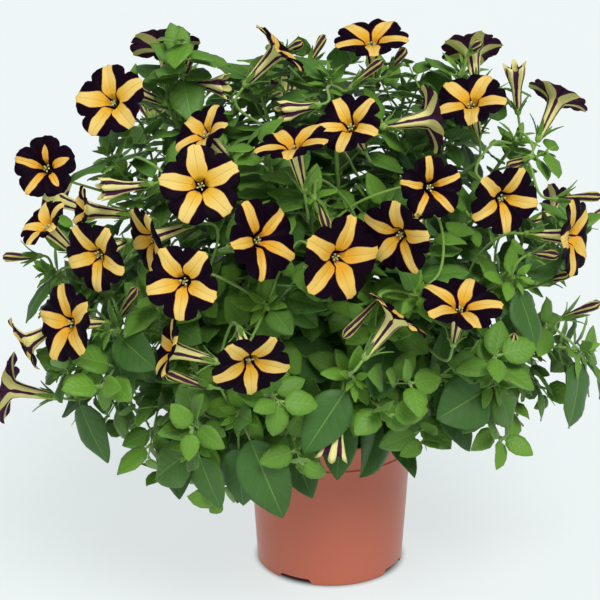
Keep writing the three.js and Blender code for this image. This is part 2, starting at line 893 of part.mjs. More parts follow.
// A leaf by rule on one side of a site. Its upper side looks out of the bush and up.
function ruleLeaf(side, share, key) {
  const root = side.middle;
  const out = root.clone().sub(PLANT_MIDDLE).normalize();
  const sag = LEAF.sag[root.z < LEAF.hangBelow ? 1 : 0];
  const along = side.normal.clone().addScaledVector(side.grow, 0.55).addScaledVector(out, 0.25);
  along.addScaledVector(UP, -sag).normalize();
  const wanted = out.multiplyScalar(0.8).addScaledVector(UP, 0.5).addScaledVector(side.grow, 0.2);
  const size = blend(...LEAF.sizes, share * share) * blend(...LEAF.spread, draw(key, 1));
  return {
    root,
    along,
    face: squareTo(along, wanted),
    reach: LEAF.length * size,
    petiole: LEAF.petiole,
    width: LEAF.width * size,
    droop: blend(...LEAF.droop, draw(key, 2)),
  };
}

// A broad leaf whose tip hangs at a hand-set place
function broadLeaf(side, spec) {
  const root = side.middle;
  const tip = vector(spec.tip);
  const droop = LEAF.broadDroop;
  const out = tip.clone().sub(PLANT_MIDDLE).setZ(0).normalize();
  const toTip = tip.clone().sub(root).normalize();
  const wanted = squareTo(toTip, out.addScaledVector(UP, 0.45));
  const along = toTip.addScaledVector(wanted, droop).normalize();
  const reach = root.distanceTo(tip) * 1.02;
  const petiole = Math.max(LEAF.petiole, 1 - spec.blade / reach);
  const face = squareTo(along, wanted);
  return { root, along, face, reach, petiole, width: spec.width, droop };
}

// Growing the plant: a new piece is kept only where it is clear of all that stands already

const placed = []; // { owner, solid, box }

function place(owner, solid) {
  placed.push({ owner, solid, box: solid.boundingBox() });
}

function boxesMeet(a, b) {
  return [0, 1, 2].every((axis) => a.min[axis] < b.max[axis] && b.min[axis] < a.max[axis]);
}

function isClear(solid, ownersToSkip = []) {
  const box = solid.boundingBox();
  return placed.every((other) => {
    if (ownersToSkip.includes(other.owner) || !boxesMeet(box, other.box)) return true;
    return solid.intersect(other.solid).volume() < SLIVER;
  });
}

const group = new THREE.Group();

function addNode(name, geometry, material) {
  geometry.computeVertexNormals();
  const mesh = new THREE.Mesh(geometry, material);
  mesh.name = name;
  group.add(mesh);
}

function geometryOf(solid) {
  const data = solid.getMesh();
  const geometry = new THREE.BufferGeometry();
  geometry.setAttribute("position", new THREE.BufferAttribute(data.vertProperties, 3));
  geometry.setIndex(new THREE.BufferAttribute(data.triVerts, 1));
  return geometry;
}

const numbered = (word, index) => `${word}_${String(index + 1).padStart(2, "0")}`;

const pot = potSolid();
const soil = soilSolid();
addNode("pot", geometryOf(pot), materials.pot);
addNode("soil", geometryOf(soil), materials.soil);
place("pot", pot);
place("soil", soil);

// The shoots of each stem. They stand in the tests as the stem's "wood", apart from its leaves
// and stalks.
const stems = PLANT.map((spec, index) => {
  const [x, y] = spec.foot;
  const name = numbered("leafy_stem", index);
  const bottom = new THREE.Vector3(x, y, SOIL.top - SOIL.holeDepth);
  const start = new THREE.Vector3(x, y, SOIL.top + SOIL.crown + 2);
  const main = makeShoot(shootCurve(start, spec.shoots[0]), bottom, new THREE.Vector3(1, 0, 0));
  const shoots = [main];
  spec.shoots.slice(1).forEach((end) => {
    const toEnd = (face) => vector(end).sub(face.middle).normalize();
    const [side] = sidesByCost([main.sites[0]], (face) => -face.normal.dot(toEnd(face)));
    const startSide = side.corners[0].clone().sub(side.middle);
    const leave = side.normal.clone().addScaledVector(side.grow, SHOOT.slant).normalize();
    const shoot = makeShoot(shootCurve(side.middle, end, leave), null, startSide);
    side.piece = { shoot };
    shoot.root = side.corners;
    shoots.push(shoot);
  });
  return { ...spec, index, name, wood: `${name} wood`, shoots };
});

// What grows from a side of a shoot, as a solid of its own
const rooted = (side, rings) => loft([side.corners, ...rings]);

// The free sides of some sites, the least costly first
function sidesByCost(sites, cost) {
  const free = sites.flatMap((site) => site.sides).filter((side) => !side.piece);
  return free.sort((a, b) => cost(a) - cost(b));
}

// The plane of a ring: its middle and the direction that it faces
function planeOf(points) {
  const middle = new THREE.Vector3();
  points.forEach((point) => middle.addScaledVector(point, 1 / points.length));
  const normal = new THREE.Vector3();
  points.forEach((point, i) => {
    const next = points[(i + 1) % points.length].clone().sub(middle);
    normal.add(point.clone().sub(middle).cross(next));
  });
  return { middle, normal: normal.normalize() };
}

// True where each ring lies wholly ahead of the one before, so that no skin folds through itself
function isOrderly(rings) {
  return rings.slice(1).every((next, i) => {
    const here = planeOf(rings[i]);
    const there = planeOf(next);
    const ahead = next.every((point) => point.clone().sub(here.middle).dot(here.normal) > STEP_AHEAD);
    const behind = (point) => point.clone().sub(there.middle).dot(there.normal) < -STEP_AHEAD;
    return ahead && (next.length === 1 || rings[i].every(behind));
  });
}

// True where an edge of a skin passes through one of its faces
function crossesItself({ corners, faces }) {
  const triangles = [];
  for (let i = 0; i < faces.length; i += 3) triangles.push(faces.slice(i, i + 3));
  const hit = new THREE.Vector3();
  const ray = new THREE.Ray();
  const edgeMeets = (from, to, triangle) => {
    if (from > to || triangle.includes(from) || triangle.includes(to)) return false;
    ray.origin.copy(corners[from]);
    ray.lookAt(corners[to]);
    const [a, b, c] = triangle.map((corner) => corners[corner]);
    if (!ray.intersectTriangle(a, b, c, false, hit)) return false;
    return hit.distanceTo(corners[from]) < corners[to].distanceTo(corners[from]);
  };
  const meets = (one, other) => one.some((from, i) => edgeMeets(from, one[(i + 1) % 3], other));
  return triangles.some((one) => triangles.some((other) => meets(one, other)));
}

function shootSolid(shoot) {
  const skin = newSkin();
  const root = shoot.root ? addRing(skin, shoot.root) : null;
  if (root) closeStart(skin, root);
  growShoot(skin, root, { ...shoot, sites: [] });
  return solidOfSkin(skin);
}

stems.forEach((stem) => {
  stem.shoots.forEach((shoot) => {
    const solid = shootSolid(shoot);
    if (!isClear(solid)) throw new Error(`${stem.name} crosses`);
    place(stem.wood, solid);
  });
});

// The blooms at their set places
const blooms = [];
stems.forEach((stem) => {
  stem.blooms.forEach((spec) => {
    const name = numbered("bloom", blooms.length);
    const frame = bloomFrame(spec);
    const solid = bloomSolid(spec, frame, blooms.length + 1);
    if (!isClear(solid)) throw new Error(`${name} crosses`);
    place(name, solid);
    addNode(name, geometryOf(solid), materials.bloom);
    blooms.push({ name, stem, frame });
  });
});

// Stalks with what stands on them. The stalk leaves the shoot where it can be about a stalk's
// length long, and bows aside until it is clear.

const BOWS = [0, 10, -10, 18, -18, 28, -28, 40, -40];

function bowsAcross(axis) {
  const across = squareTo(axis, new THREE.Vector3(0.5, 0.2, 0.8));
  const lift = axis.clone().cross(across);
  const bows = [];
  BOWS.forEach((a) => {
    BOWS.forEach((b) => bows.push(offset(new THREE.Vector3(), across, a, lift, b)));
  });
  return bows.sort((p, q) => p.length() - q.length());
}

function stalkSides(stem, end, axis) {
  const wanted = end.clone().addScaledVector(axis, -STALK.length);
  const sites = stem.shoots.flatMap((shoot) => shoot.sites);
  const sides = sidesByCost(sites, (face) => {
    const turned = face.normal.dot(end.clone().sub(face.middle).normalize());
    return face.middle.distanceTo(wanted) + STALK.turnCost * (1 - turned);
  });
  return sides.filter((face) => face.middle.distanceTo(end) > STALK.least);
}

function stalkFits(side, stem, { end, axis, head, label }, bow) {
  const curve = stalkCurve(side, end, axis, bow);
  const rings = stalkRings(side, curve);
  if (bow.length() > STALK.mostBow * side.middle.distanceTo(end)) return false;
  const way = [side.corners, ...rings, head[0]];
  if (!isOrderly(way) || crossesItself(skinOf([...way, ...head.slice(1)]))) return false;
  const wide = loft(stalkRings(side, curve, STALK.clearance));
  return isClear(wide, [stem.name, label]) && isClear(rooted(side, [...rings, ...head]), [label]);
}

function addStalk(flower) {
  const { stem, end, axis, head, label } = flower;
  const bows = bowsAcross(axis);
  for (const side of stalkSides(stem, end, axis)) {
    const bow = bows.find((option) => stalkFits(side, stem, flower, option));
    if (bow) {
      const rings = [...stalkRings(side, stalkCurve(side, end, axis, bow)), ...head];
      side.piece = { rings };
      place(stem.name, rooted(side, rings));
      return;
    }
  }
  throw new Error(`no way for the stalk of ${label}`);
}

const flowers = blooms.map(({ name, stem, frame }) => {
  const end = frame.behind(BLOOM.tubeLength + GAP + CALYX.back);
  return { stem, end, axis: frame.axis, head: calyxRings(frame), label: `calyx of ${name}` };
});
stems.forEach((stem) => {
  stem.buds.forEach(({ at, tip }, index) => {
    const frame = budFrame(at, tip);
    const { start: end, axis } = frame;
    flowers.push({ stem, end, axis, head: budRings(frame), label: `${stem.name} bud ${index}` });
  });
  stem.trumpets.forEach(({ at, tip, size }, index) => {
    const frame = budFrame(at, tip);
    const { start: end, axis } = frame;
    const label = `${stem.name} trumpet ${index}`;
    flowers.push({ stem, end, axis, head: trumpetRings(frame, size), label });
  });
});
flowers.forEach(({ end, head, label }) => {
  const solid = loft([[end], ...head]);
  if (!isClear(solid)) throw new Error(`${label} crosses`);
  place(label, solid);
});
flowers.forEach(addStalk);

// Leaves last, in the room that is left

// How well a ring lines up with the next one, from 0 to 1
function alignment(quad, slab) {
  const edge = (points, i) => points[(i + 1) % 4].clone().sub(points[i % 4]).normalize();
  const turns = [0, 1, 2, 3].map((turn) =>
    slab.reduce((sum, _, i) => sum + edge(slab, i).dot(edge(quad, i + turn)) / 4, 0),
  );
  return Math.max(...turns);
}

// A leaf's rings from the side that it grows from, with a slim neck if its blade is turned
function rootedLeafRings(side, leaf, grow = 0) {
  const rings = leafRings(leaf, grow);
  if (alignment(side.corners, rings[0]) > LEAF.aligned) return rings;
  const across = leaf.face.clone().cross(leaf.along);
  const turned = offset(new THREE.Vector3(), across, 1, leaf.face, -1).normalize();
  const centre = leafCentre(leaf, LEAF.neck);
  const level = leaf.along.clone().cross(turned);
  return [evenRing(centre, turned, level, LEAF.neckRadius + grow, 4), ...rings];
}

function addLeaf(stem, side, leaf) {
  const bend = BENDS.find((option) => {
    const bent = bentLeaf(leaf, option);
    const rings = rootedLeafRings(side, bent);
    const way = [side.corners, ...rings];
    if (!isOrderly(way) || crossesItself(skinOf(way))) return false;
    return isClear(loft(rootedLeafRings(side, bent, LEAF.clearance))) && isClear(rooted(side, rings));
  });
  if (!bend) return false;
  const rings = rootedLeafRings(side, bentLeaf(leaf, bend));
  side.piece = { rings };
  place(stem.name, rooted(side, rings));
  return true;
}

stems.forEach((stem) => {
  stem.broadLeaves.forEach((spec) => {
    const sides = sidesByCost(stem.shoots[0].sites, (face) => {
      const turned = face.normal.dot(vector(spec.tip).sub(face.middle).normalize());
      return face.middle.distanceTo(vector(spec.tip)) + LEAF.turnCost * (1 - turned);
    });
    if (!sides.some((side) => addLeaf(stem, side, broadLeaf(side, spec)))) {
      throw new Error(`no way for a broad leaf of ${stem.name} at ${spec.tip}`);
    }
  });
});
stems.forEach((stem) => {
  stem.shoots.forEach((shoot, branch) => {
    shoot.sites.forEach((site, level) => {
      site.sides.forEach((side, turn) => {
        if (side.piece || turn % 2 !== level % 2) return;
        const key = stem.index * 100 + branch * 40 + level * 4 + turn;
        addLeaf(stem, side, ruleLeaf(side, site.share, key));
      });
    });
  });
});

// The skin of a leafy stem: one closed surface, grown from the stem's foot. A leaf or stalk takes
// the place of the side that it grows from.

function growShoot(skin, root, shoot) {
  let last = root;
  shoot.rings.forEach((points, level) => {
    const next = addRing(skin, points);
    if (!last) {
      closeStart(skin, next);
      last = next;
      return;
    }
    const site = shoot.sites.find((candidate) => candidate.upper === level);
    next.forEach((_, i) => {
      const j = (i + 1) % 4;
      const quad = [last[i], last[j], next[j], next[i]];
      const piece = site && site.sides[i].piece;
      if (piece && piece.shoot) growShoot(skin, quad, piece.shoot);
      else if (piece) growRings(skin, quad, piece.rings);
      else skin.faces.push(quad[0], quad[1], quad[2], quad[0], quad[2], quad[3]);
    });
    last = next;
  });
  growRings(skin, last, [[shoot.curve[3]]]);
}

stems.forEach((stem) => {
  const skin = newSkin();
  growShoot(skin, null, stem.shoots[0]);
  const geometry = new THREE.BufferGeometry().setFromPoints(skin.corners);
  geometry.setIndex(skin.faces);
  addNode(stem.name, geometry, materials.plant);
});

export default group;
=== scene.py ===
# %% [markdown]
# A petunia in a nursery pot, dressed for the camera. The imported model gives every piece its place
# and its main form: a pot, its soil, leafy stems and blooms, all with few faces. This lesson grows
# a finer piece over each of them, with rounded stems, curved leaves, ruffled petals and their
# colours. Nothing is placed by eye here: each step reads where its pieces are from the frame.

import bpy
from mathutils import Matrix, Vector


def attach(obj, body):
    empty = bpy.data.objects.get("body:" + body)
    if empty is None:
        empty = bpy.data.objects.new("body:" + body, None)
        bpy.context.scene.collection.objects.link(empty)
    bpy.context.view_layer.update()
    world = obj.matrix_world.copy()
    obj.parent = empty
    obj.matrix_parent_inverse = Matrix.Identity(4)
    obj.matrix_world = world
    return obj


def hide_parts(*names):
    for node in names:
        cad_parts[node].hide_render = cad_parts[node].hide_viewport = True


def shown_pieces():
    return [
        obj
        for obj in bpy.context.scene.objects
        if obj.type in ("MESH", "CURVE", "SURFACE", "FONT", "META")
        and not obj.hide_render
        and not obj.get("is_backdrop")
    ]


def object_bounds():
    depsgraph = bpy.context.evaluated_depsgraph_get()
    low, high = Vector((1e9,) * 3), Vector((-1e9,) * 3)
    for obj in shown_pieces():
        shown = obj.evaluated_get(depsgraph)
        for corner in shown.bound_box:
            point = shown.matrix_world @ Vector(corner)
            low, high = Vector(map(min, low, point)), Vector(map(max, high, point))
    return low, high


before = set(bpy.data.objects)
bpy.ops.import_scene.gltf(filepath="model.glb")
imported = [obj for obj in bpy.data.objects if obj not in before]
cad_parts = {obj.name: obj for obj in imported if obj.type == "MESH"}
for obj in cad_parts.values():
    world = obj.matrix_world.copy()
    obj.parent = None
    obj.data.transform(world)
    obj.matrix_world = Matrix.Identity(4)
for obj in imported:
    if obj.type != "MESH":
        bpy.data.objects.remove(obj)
cad_box = [list(corner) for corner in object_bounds()]

import math
import zlib

import bmesh
import bpy
import numpy as np
from mathutils import Matrix, Vector

MM = 0.001
stem_nodes = sorted(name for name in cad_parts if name.startswith("leafy_stem"))
bloom_nodes = sorted(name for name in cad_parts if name.startswith("bloom"))
print("frame:", len(stem_nodes), "leafy stems and", len(bloom_nodes), "blooms")

# %% [markdown]
# The camera comes first, because everything else is judged through it. The photograph looks down
# on the plant by about 20 degrees, from far enough away that the pot's rim and foot look alike.
# A long lens at 1.6 m gives that. The aim point is the middle of the picture.

# %% The camera
CAMERA_DOWN = math.radians(20)
CAMERA_AWAY = 1.6
CAMERA_AIM = Vector((-0.0227, 0.0, 0.2065))
PICTURE_WIDTH = 600  # pixels
FOCAL_LENGTH = 2178  # in pixels of the picture
SENSOR = 36

looking = Vector((0, math.cos(CAMERA_DOWN), -math.sin(CAMERA_DOWN)))
camera_data = bpy.data.cameras.new("camera")
camera_data.sensor_width = SENSOR
camera_data.lens = SENSOR * FOCAL_LENGTH / PICTURE_WIDTH
camera_data.clip_end = 20
camera = bpy.data.objects.new("camera", camera_data)
camera.location = CAMERA_AIM - looking * CAMERA_AWAY
camera.rotation_euler = looking.to_track_quat("-Z", "Y").to_euler()
scene = bpy.context.scene
scene.collection.objects.link(camera)
scene.camera = camera
scene.view_settings.view_transform = "Standard"
print("camera:", round(camera_data.lens, 1), "mm lens at", [round(x, 3) for x in camera.location])

# %% [markdown]
# Every material here is a small graph of nodes. It could be joined by hand in the node editor, but
# the same few moves come back each time: take a value, mix two colours, add some noise. So one
# short helper holds them, and a finish further on reads like a recipe. Colours are given as a
# screen shows them, because that is how they are judged by eye.

# %% A helper for finishes
MIX_INPUTS, MIX_RESULT = (0, 6, 7), 2  # a mix takes its share and its two colours at these sockets


def screen(red, green, blue):
    """A colour given as on a screen, 0 to 255, turned into the light that shaders use."""
    shares = [c / 255 for c in (red, green, blue)]
    light = [s / 12.92 if s <= 0.04045 else ((s + 0.055) / 1.055) ** 2.4 for s in shares]
    return (*light, 1.0)


class Finish:
    """A material whose nodes are made and joined in short calls."""

    def __init__(self, name):
        self.material = bpy.data.materials.new(name)
        self.material.use_nodes = True
        self.tree = self.material.node_tree
        self.shader = self.tree.nodes["Principled BSDF"]

    def node(self, kind, inputs=(), **settings):
        made = self.tree.nodes.new(kind)
        for name, value in settings.items():
            setattr(made, name, value)
        for socket, value in dict(inputs).items():
            self.put(made.inputs[socket], value)
        return made

    def put(self, socket, value):
        if isinstance(value, bpy.types.NodeSocket):
            self.tree.links.new(value, socket)
        else:
            socket.default_value = value

    def value(self, name):
        """A value that the mesh carries at each of its corners."""
        return self.node("ShaderNodeAttribute", attribute_name=name).outputs["Fac"]

    def math(self, operation, a, b=0.0):
        made = self.node("ShaderNodeMath", operation=operation)
        self.put(made.inputs[0], a)
        self.put(made.inputs[1], b)
        return made.outputs[0]

    def plus(self, a, b):
        return self.math("ADD", a, b)

    def minus(self, a, b):
        return self.math("SUBTRACT", a, b)

    def times(self, a, b):
        return self.math("MULTIPLY", a, b)

    def ramp(self, value, low, high):
        """0 below low, 1 above high, and smooth between them."""
        made = self.node("ShaderNodeMapRange", interpolation_type="SMOOTHSTEP")
        for socket, given in zip(("Value", "From Min", "From Max"), (value, low, high)):
            self.put(made.inputs[socket], given)
        return made.outputs["Result"]

    def mix(self, share, first, second):
        made = self.node("ShaderNodeMix", data_type="RGBA")
        for socket, given in zip(MIX_INPUTS, (share, first, second)):
            self.put(made.inputs[socket], given)
        return made.outputs[MIX_RESULT]

    def noise(self, scale, detail, at=None):
        made = self.node("ShaderNodeTexNoise", {"Scale": scale, "Detail": detail})
        place = at or self.node("ShaderNodeTexCoord").outputs["Object"]
        self.tree.links.new(place, made.inputs["Vector"])
        return made.outputs["Fac"]

    def bump(self, height, distance, strength):
        made = self.node("ShaderNodeBump", {"Strength": strength, "Distance": distance})
        self.tree.links.new(height, made.inputs["Height"])
        self.tree.links.new(made.outputs["Normal"], self.shader.inputs["Normal"])

    def set(self, **sockets):
        for name, value in sockets.items():
            self.put(self.shader.inputs[name.replace("_", " ")], value)
        return self.material


print("middle grey on a screen is", round(screen(128, 128, 128)[0], 2), "of the light")

# %% [markdown]
# A plain sweep of pale paper stands for the studio. It could be a closed room, but one large
# sheet that fills the view gives the same even tone. A pale sky fills the shadows. The main light
# comes over the right shoulder, and a weak one from the left. Both are suns with a wide, soft disc:
# a lamp near the plant would leave the paper far behind it dark. The paper glows as painted light,
# which keeps the shadow beside the plant as faint as it is in the photograph. Only under the pot
# it doesn't glow: that paints a shadow there, so that the notches in the foot stay dark.

# %% The studio
PAPER_SIZE = 30
# The paper's glow is painted light, and where it fades out under the pot it paints a shadow.
PAPER_PAINTED_GLOW = 0.79
PAINTED_SHADOW_UNDER_POT = (50 * MM, 60 * MM)  # the glow fades in between these distances from the pot's middle
SKY_GLOW = 0.24


def paper_finish():
    finish = Finish("studio_paper")
    tint = finish.mix(finish.noise(0.8, 3), screen(120, 122, 123), screen(126, 128, 128))
    place = finish.node("ShaderNodeTexCoord").outputs["Object"]
    away = finish.node("ShaderNodeVectorMath", {"Vector": place}, operation="LENGTH").outputs["Value"]
    # Painted light over the paper, switched off under the pot to paint its shadow and the notches' shade.
    glow = finish.times(finish.ramp(away, *PAINTED_SHADOW_UNDER_POT), PAPER_PAINTED_GLOW)
    return finish.set(Base_Color=tint, Roughness=0.9, Emission_Color=screen(236, 243, 243),
                      Emission_Strength=glow)


bpy.ops.mesh.primitive_plane_add(size=PAPER_SIZE, location=(0, 0, 0))
floor = bpy.context.object
floor.name = "studio_floor"
floor.data.materials.append(paper_finish())
floor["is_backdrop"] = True

world = bpy.data.worlds.new("studio_sky")
world.use_nodes = True
sky = world.node_tree.nodes["Background"].inputs
sky["Color"].default_value = screen(238, 246, 252)
sky["Strength"].default_value = SKY_GLOW
scene.world = world


def soft_sun(name, place, strength, spread):
    data = bpy.data.lights.new(name, "SUN")
    data.energy = strength
    data.angle = math.radians(spread)
    lamp = bpy.data.objects.new(name, data)
    lamp.location = place
    lamp.rotation_euler = (-Vector(place)).to_track_quat("-Z", "Y").to_euler()
    scene.collection.objects.link(lamp)


soft_sun("key_light", (0.4, -1.0, 1.5), strength=2.7, spread=32)
soft_sun("fill_light", (-1.2, -0.8, 0.7), strength=0.4, spread=60)

# %% [markdown]
# A mesh here is gathered patch by patch: a leaf, a petal or a length of stem is a block of corners
# and faces, and each corner carries a few named values. Those values say where a corner lies on
# its leaf or petal, so that the finish can draw veins and stripes without any picture. The names
# are: along and across the piece, face (0 above or inside, 1 below or outside), tone (how young
# or warm it is), and arm, how far a petal's stripe reaches to each side at that corner.

# %% Gathering a mesh
VALUES = ("along", "across", "face", "tone", "arm")
STEM, LEAF, HAIR = 0, 1, 2  # the finishes of a leafy stem, in the order that its mesh holds them in
PETAL, HEART = 0, 1  # and those of a bloom


class Patches:
    """Corners, faces and named values of one mesh, gathered patch by patch."""

    def __init__(self):
        self.corners, self.faces, self.slots = [], [], []
        self.values = {name: [] for name in VALUES}
        self.count = 0

    def add(self, corners, faces, slot=0, **values):
        corners = np.asarray(corners, float).reshape(-1, 3)
        self.corners.append(corners)
        self.faces.extend((np.asarray(faces) + self.count).tolist())
        self.slots.append(np.full(len(faces), slot))
        for name, gathered in self.values.items():
            given = np.asarray(values.get(name, 0.0), float).reshape(-1)
            gathered.append(np.broadcast_to(given, len(corners)))
        self.count += len(corners)

    def make(self, name, materials):
        mesh = bpy.data.meshes.new(name)
        mesh.from_pydata(np.concatenate(self.corners).tolist(), [], self.faces)
        for value, gathered in self.values.items():
            layer = mesh.attributes.new(value, "FLOAT", "POINT")
            layer.data.foreach_set("value", np.concatenate(gathered).astype(np.float32))
        mesh.polygons.foreach_set("material_index", np.concatenate(self.slots).astype(np.int32))
        mesh.polygons.foreach_set("use_smooth", np.ones(len(self.faces), bool))
        for material in materials:
            mesh.materials.append(material)
        made = bpy.data.objects.new(name, mesh)
        scene.collection.objects.link(made)
        return made


def lengths_along(path):
    """How far each point of a path is from its start, measured along the path."""
    return np.append(0, np.cumsum(np.linalg.norm(np.diff(path, axis=0), axis=1)))


def unit(vectors):
    return vectors / np.linalg.norm(vectors, axis=-1, keepdims=True)


def draws(name):
    """Repeatable random numbers that belong to a name."""
    return np.random.default_rng(zlib.crc32(name.encode()))


def tube_faces(count, rings):
    """Faces between rings of corners stored one after another, and over both ends.

    Each end is closed with four-cornered faces, so the number of sides has to be even."""
    columns = np.arange(count)
    after = (columns + 1) % count
    rows = np.arange(rings - 1)[:, None] * count
    quads = [rows + columns, rows + after, rows + count + after, rows + count + columns]
    steps = np.arange(1, count - 1, 2)
    first = np.stack([0 * steps, steps + 2, steps + 1, steps], -1) % count
    last = first[:, ::-1] + (rings - 1) * count
    return np.concatenate([np.stack(quads, -1).reshape(-1, 4), first, last])


print("a tube of 5 rings with 8 sides has", len(tube_faces(8, 5)), "faces")

# %% [markdown]
# Most of a plant is tubes: stems, stalks, twigs, even the threads in a flower. A curve object with
# a round bevel would draw them too, but its corners could not carry the named values. Here a
# smooth path is walked, and a ring of corners is set square to it at each step. Each ring is turned
# as little as possible from the last one, so that a bent stem doesn't twist.

# %% Tubes along a path
def smooth_path(points, step):
    """Points along a smooth curve through the given ones, about a step apart."""
    points = np.asarray(points, float)
    gaps = np.linalg.norm(np.diff(points, axis=0), axis=1)
    slopes = np.diff(points, axis=0) / gaps[:, None]
    middle = slopes[:-1] * gaps[1:, None] + slopes[1:] * gaps[:-1, None]
    middle = middle / (gaps[:-1] + gaps[1:])[:, None]
    ends = np.concatenate([slopes[:1], middle, slopes[-1:]])
    found = []
    for i, gap in enumerate(gaps):
        t = np.linspace(0, 1, max(1, round(gap / step)), endpoint=False)[:, None]
        stay, go = 2 * t**3 - 3 * t**2 + 1, -2 * t**3 + 3 * t**2
        leave, arrive = (t**3 - 2 * t**2 + t) * gap, (t**3 - t**2) * gap
        curve = stay * points[i] + leave * ends[i] + go * points[i + 1] + arrive * ends[i + 1]
        found.append(curve)
    return np.concatenate([*found, points[-1:]])


FIRST_SIDE = np.array([0.3, -1, 0.2])  # the first corner of a ring lies about this way


def tube_rings(path, radii, sides, axis=None):
    """Rings of corners round a path, each turned as little as possible from the one before.

    With an axis given, all rings stand square to it, also where the path turns back."""
    path = np.asarray(path, float)
    ahead = unit(np.gradient(path, axis=0)) if axis is None else np.tile(axis, (len(path), 1))
    side = FIRST_SIDE
    angles = np.linspace(0, 2 * np.pi, sides, endpoint=False)[:, None]
    rings = []
    for centre, direction, radius in zip(path, ahead, np.broadcast_to(radii, len(path))):
        side = unit(side - direction * (side @ direction))
        other = np.cross(direction, side)
        rings.append(centre + radius * (np.cos(angles) * side + np.sin(angles) * other))
    return np.array(rings)


def add_tube(patches, path, radii, sides, slot, axis=None, **values):
    rings = tube_rings(path, radii, sides, axis)
    along = np.repeat(np.linspace(0, 1, len(rings)), sides)
    patches.add(rings, tube_faces(sides, len(rings)), slot, **{"along": along, **values})


bend = smooth_path([(0, 0, 0), (0, 0, 60), (50, 0, 90)], 5)
print("a bend through 3 points is walked in", len(bend) - 1, "steps")

# %% [markdown]
# The frame's leafy stems are closed skins that grew ring by ring: four corners round a stem, four
# round a leaf's edge, and a point at each tip. That order can be read back. From any ring, the
# faces on its far side lead to the next one, so a walk across them finds every shoot, stalk, leaf
# and flower cup, with its place and size. A finer piece built on these rings can't miss its place.

# %% Reading a skin
WELD = 0.004 * MM


class Skin:
    """The corners of a node, and the way its faces join them into rings."""

    def __init__(self, node):
        mesh = bmesh.new()
        mesh.from_mesh(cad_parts[node].data)
        bmesh.ops.remove_doubles(mesh, verts=mesh.verts, dist=WELD)
        mesh.verts.index_update()
        self.corners = np.array([list(corner.co) for corner in mesh.verts])
        self.third = {}
        self.near = [set() for _ in self.corners]
        for face in mesh.faces:
            a, b, c = (corner.index for corner in face.verts)
            self.third[a, b], self.third[b, c], self.third[c, a] = c, a, b
        for a, b in self.third:
            self.near[a].add(b)
        mesh.free()

    def next_ring(self, ring):
        """The ring on the far side of the faces that stand on a ring."""
        count = len(ring)
        here = self.third[ring[0], ring[1]]
        found = [here]
        step = 1
        while True:
            ahead = self.third[here, ring[step % count]]
            if step < count and ahead == ring[(step + 1) % count]:
                step += 1
            elif ahead not in found and not (step == count and ahead == ring[1]):
                found.append(ahead)
                here = ahead
            elif step == count:
                return found
            else:
                here = ahead

    def follow(self, root):
        """All the rings of a leaf, stalk or flower, up to its point or its closed end."""
        rings = [root]
        while len(rings[-1]) > 1 and self.third[rings[-1][0], rings[-1][1]] not in rings[-1]:
            rings.append(self.next_ring(rings[-1]))
        return rings

    def next_rung(self, ring, used):
        """The next four corners of a shoot, each joined to one below it and to its neighbours."""
        best, shortest = None, np.inf
        near = self.near
        for a in near[ring[0]] - used:
            for b in (near[a] & near[ring[1]]) - used:
                for c in (near[b] & near[ring[2]]) - used - {a}:
                    for d in (near[c] & near[ring[3]] & near[a]) - used - {b}:
                        steps = self.corners[[a, b, c, d]] - self.corners[ring]
                        rise = np.linalg.norm(steps, axis=1).sum()
                        if rise < shortest:
                            best, shortest = [a, b, c, d], rise
        return best


print("the skin of", stem_nodes[0], "has", len(Skin(stem_nodes[0]).corners), "corners")

# %% [markdown]
# What was walked still has to be named. A ring that is as thin as the frame's leaves belongs to a
# leaf, one as thick as a stem starts a side shoot, and anything else is a flower stalk. The pieces
# could be told apart by hand, but there are nearly three hundred of them, and this rule also holds
# when the plant is changed.

# %% Reading a leaf
SLAB = 0.8 * MM  # the frame's leaves are this thick
SLACK = 0.02 * MM  # lengths that differ by less count as one
PULL = 0.2  # how much a drooping leaf draws back
BLADE_START = 0.08  # the first wide ring stands at this share of the blade


def is_slab(points):
    edges = np.linalg.norm(points - np.roll(points, -1, axis=0), axis=1)
    return len(points) == 4 and min(abs(edges[0] - SLAB), abs(edges[1] - SLAB)) < SLACK


def read_leaf(rings):
    """Where a leaf starts, points and bends, from its rings."""
    root, tip, slab = rings[0].mean(0), rings[-1][0], rings[-2]
    if np.linalg.norm(slab[0] - slab[1]) > 1.5 * SLAB:
        slab = np.roll(slab, -1, axis=0)
    face, side = unit(slab[1] - slab[0]), unit(slab[0] - slab[3])
    along = np.cross(side, face)
    if (tip - root) @ face > 0:
        face, side = -face, -side
    fall = -(tip - root) @ face
    reach = (tip - root) @ along + PULL * fall
    start = math.sqrt(max(-(rings[-4].mean(0) - root) @ face / fall, 0))
    petiole = (start - BLADE_START) / (1 - BLADE_START)
    widest = rings[-3]
    width = max(np.linalg.norm(widest[0] - widest[1]), np.linalg.norm(widest[1] - widest[2]))
    return dict(root=root, along=along, side=side, face=face, reach=reach, droop=fall / reach,
                petiole=petiole, width=width)


# %% [markdown]
# A leafy stem is read from its foot up. Each rung of a shoot leads to the next one, and on the way
# each of its four sides is looked at: what grows out of it is followed to its end. One list of all
# the stem's pieces could be written down instead, but it would be long and soon out of date. A
# side shoot is read just as the shoot that carries it, so the reading function calls itself.

# %% Reading a leafy stem
SIDE_SHOOT = (2 * MM, 3 * MM)  # the first ring of a side shoot has a radius between these


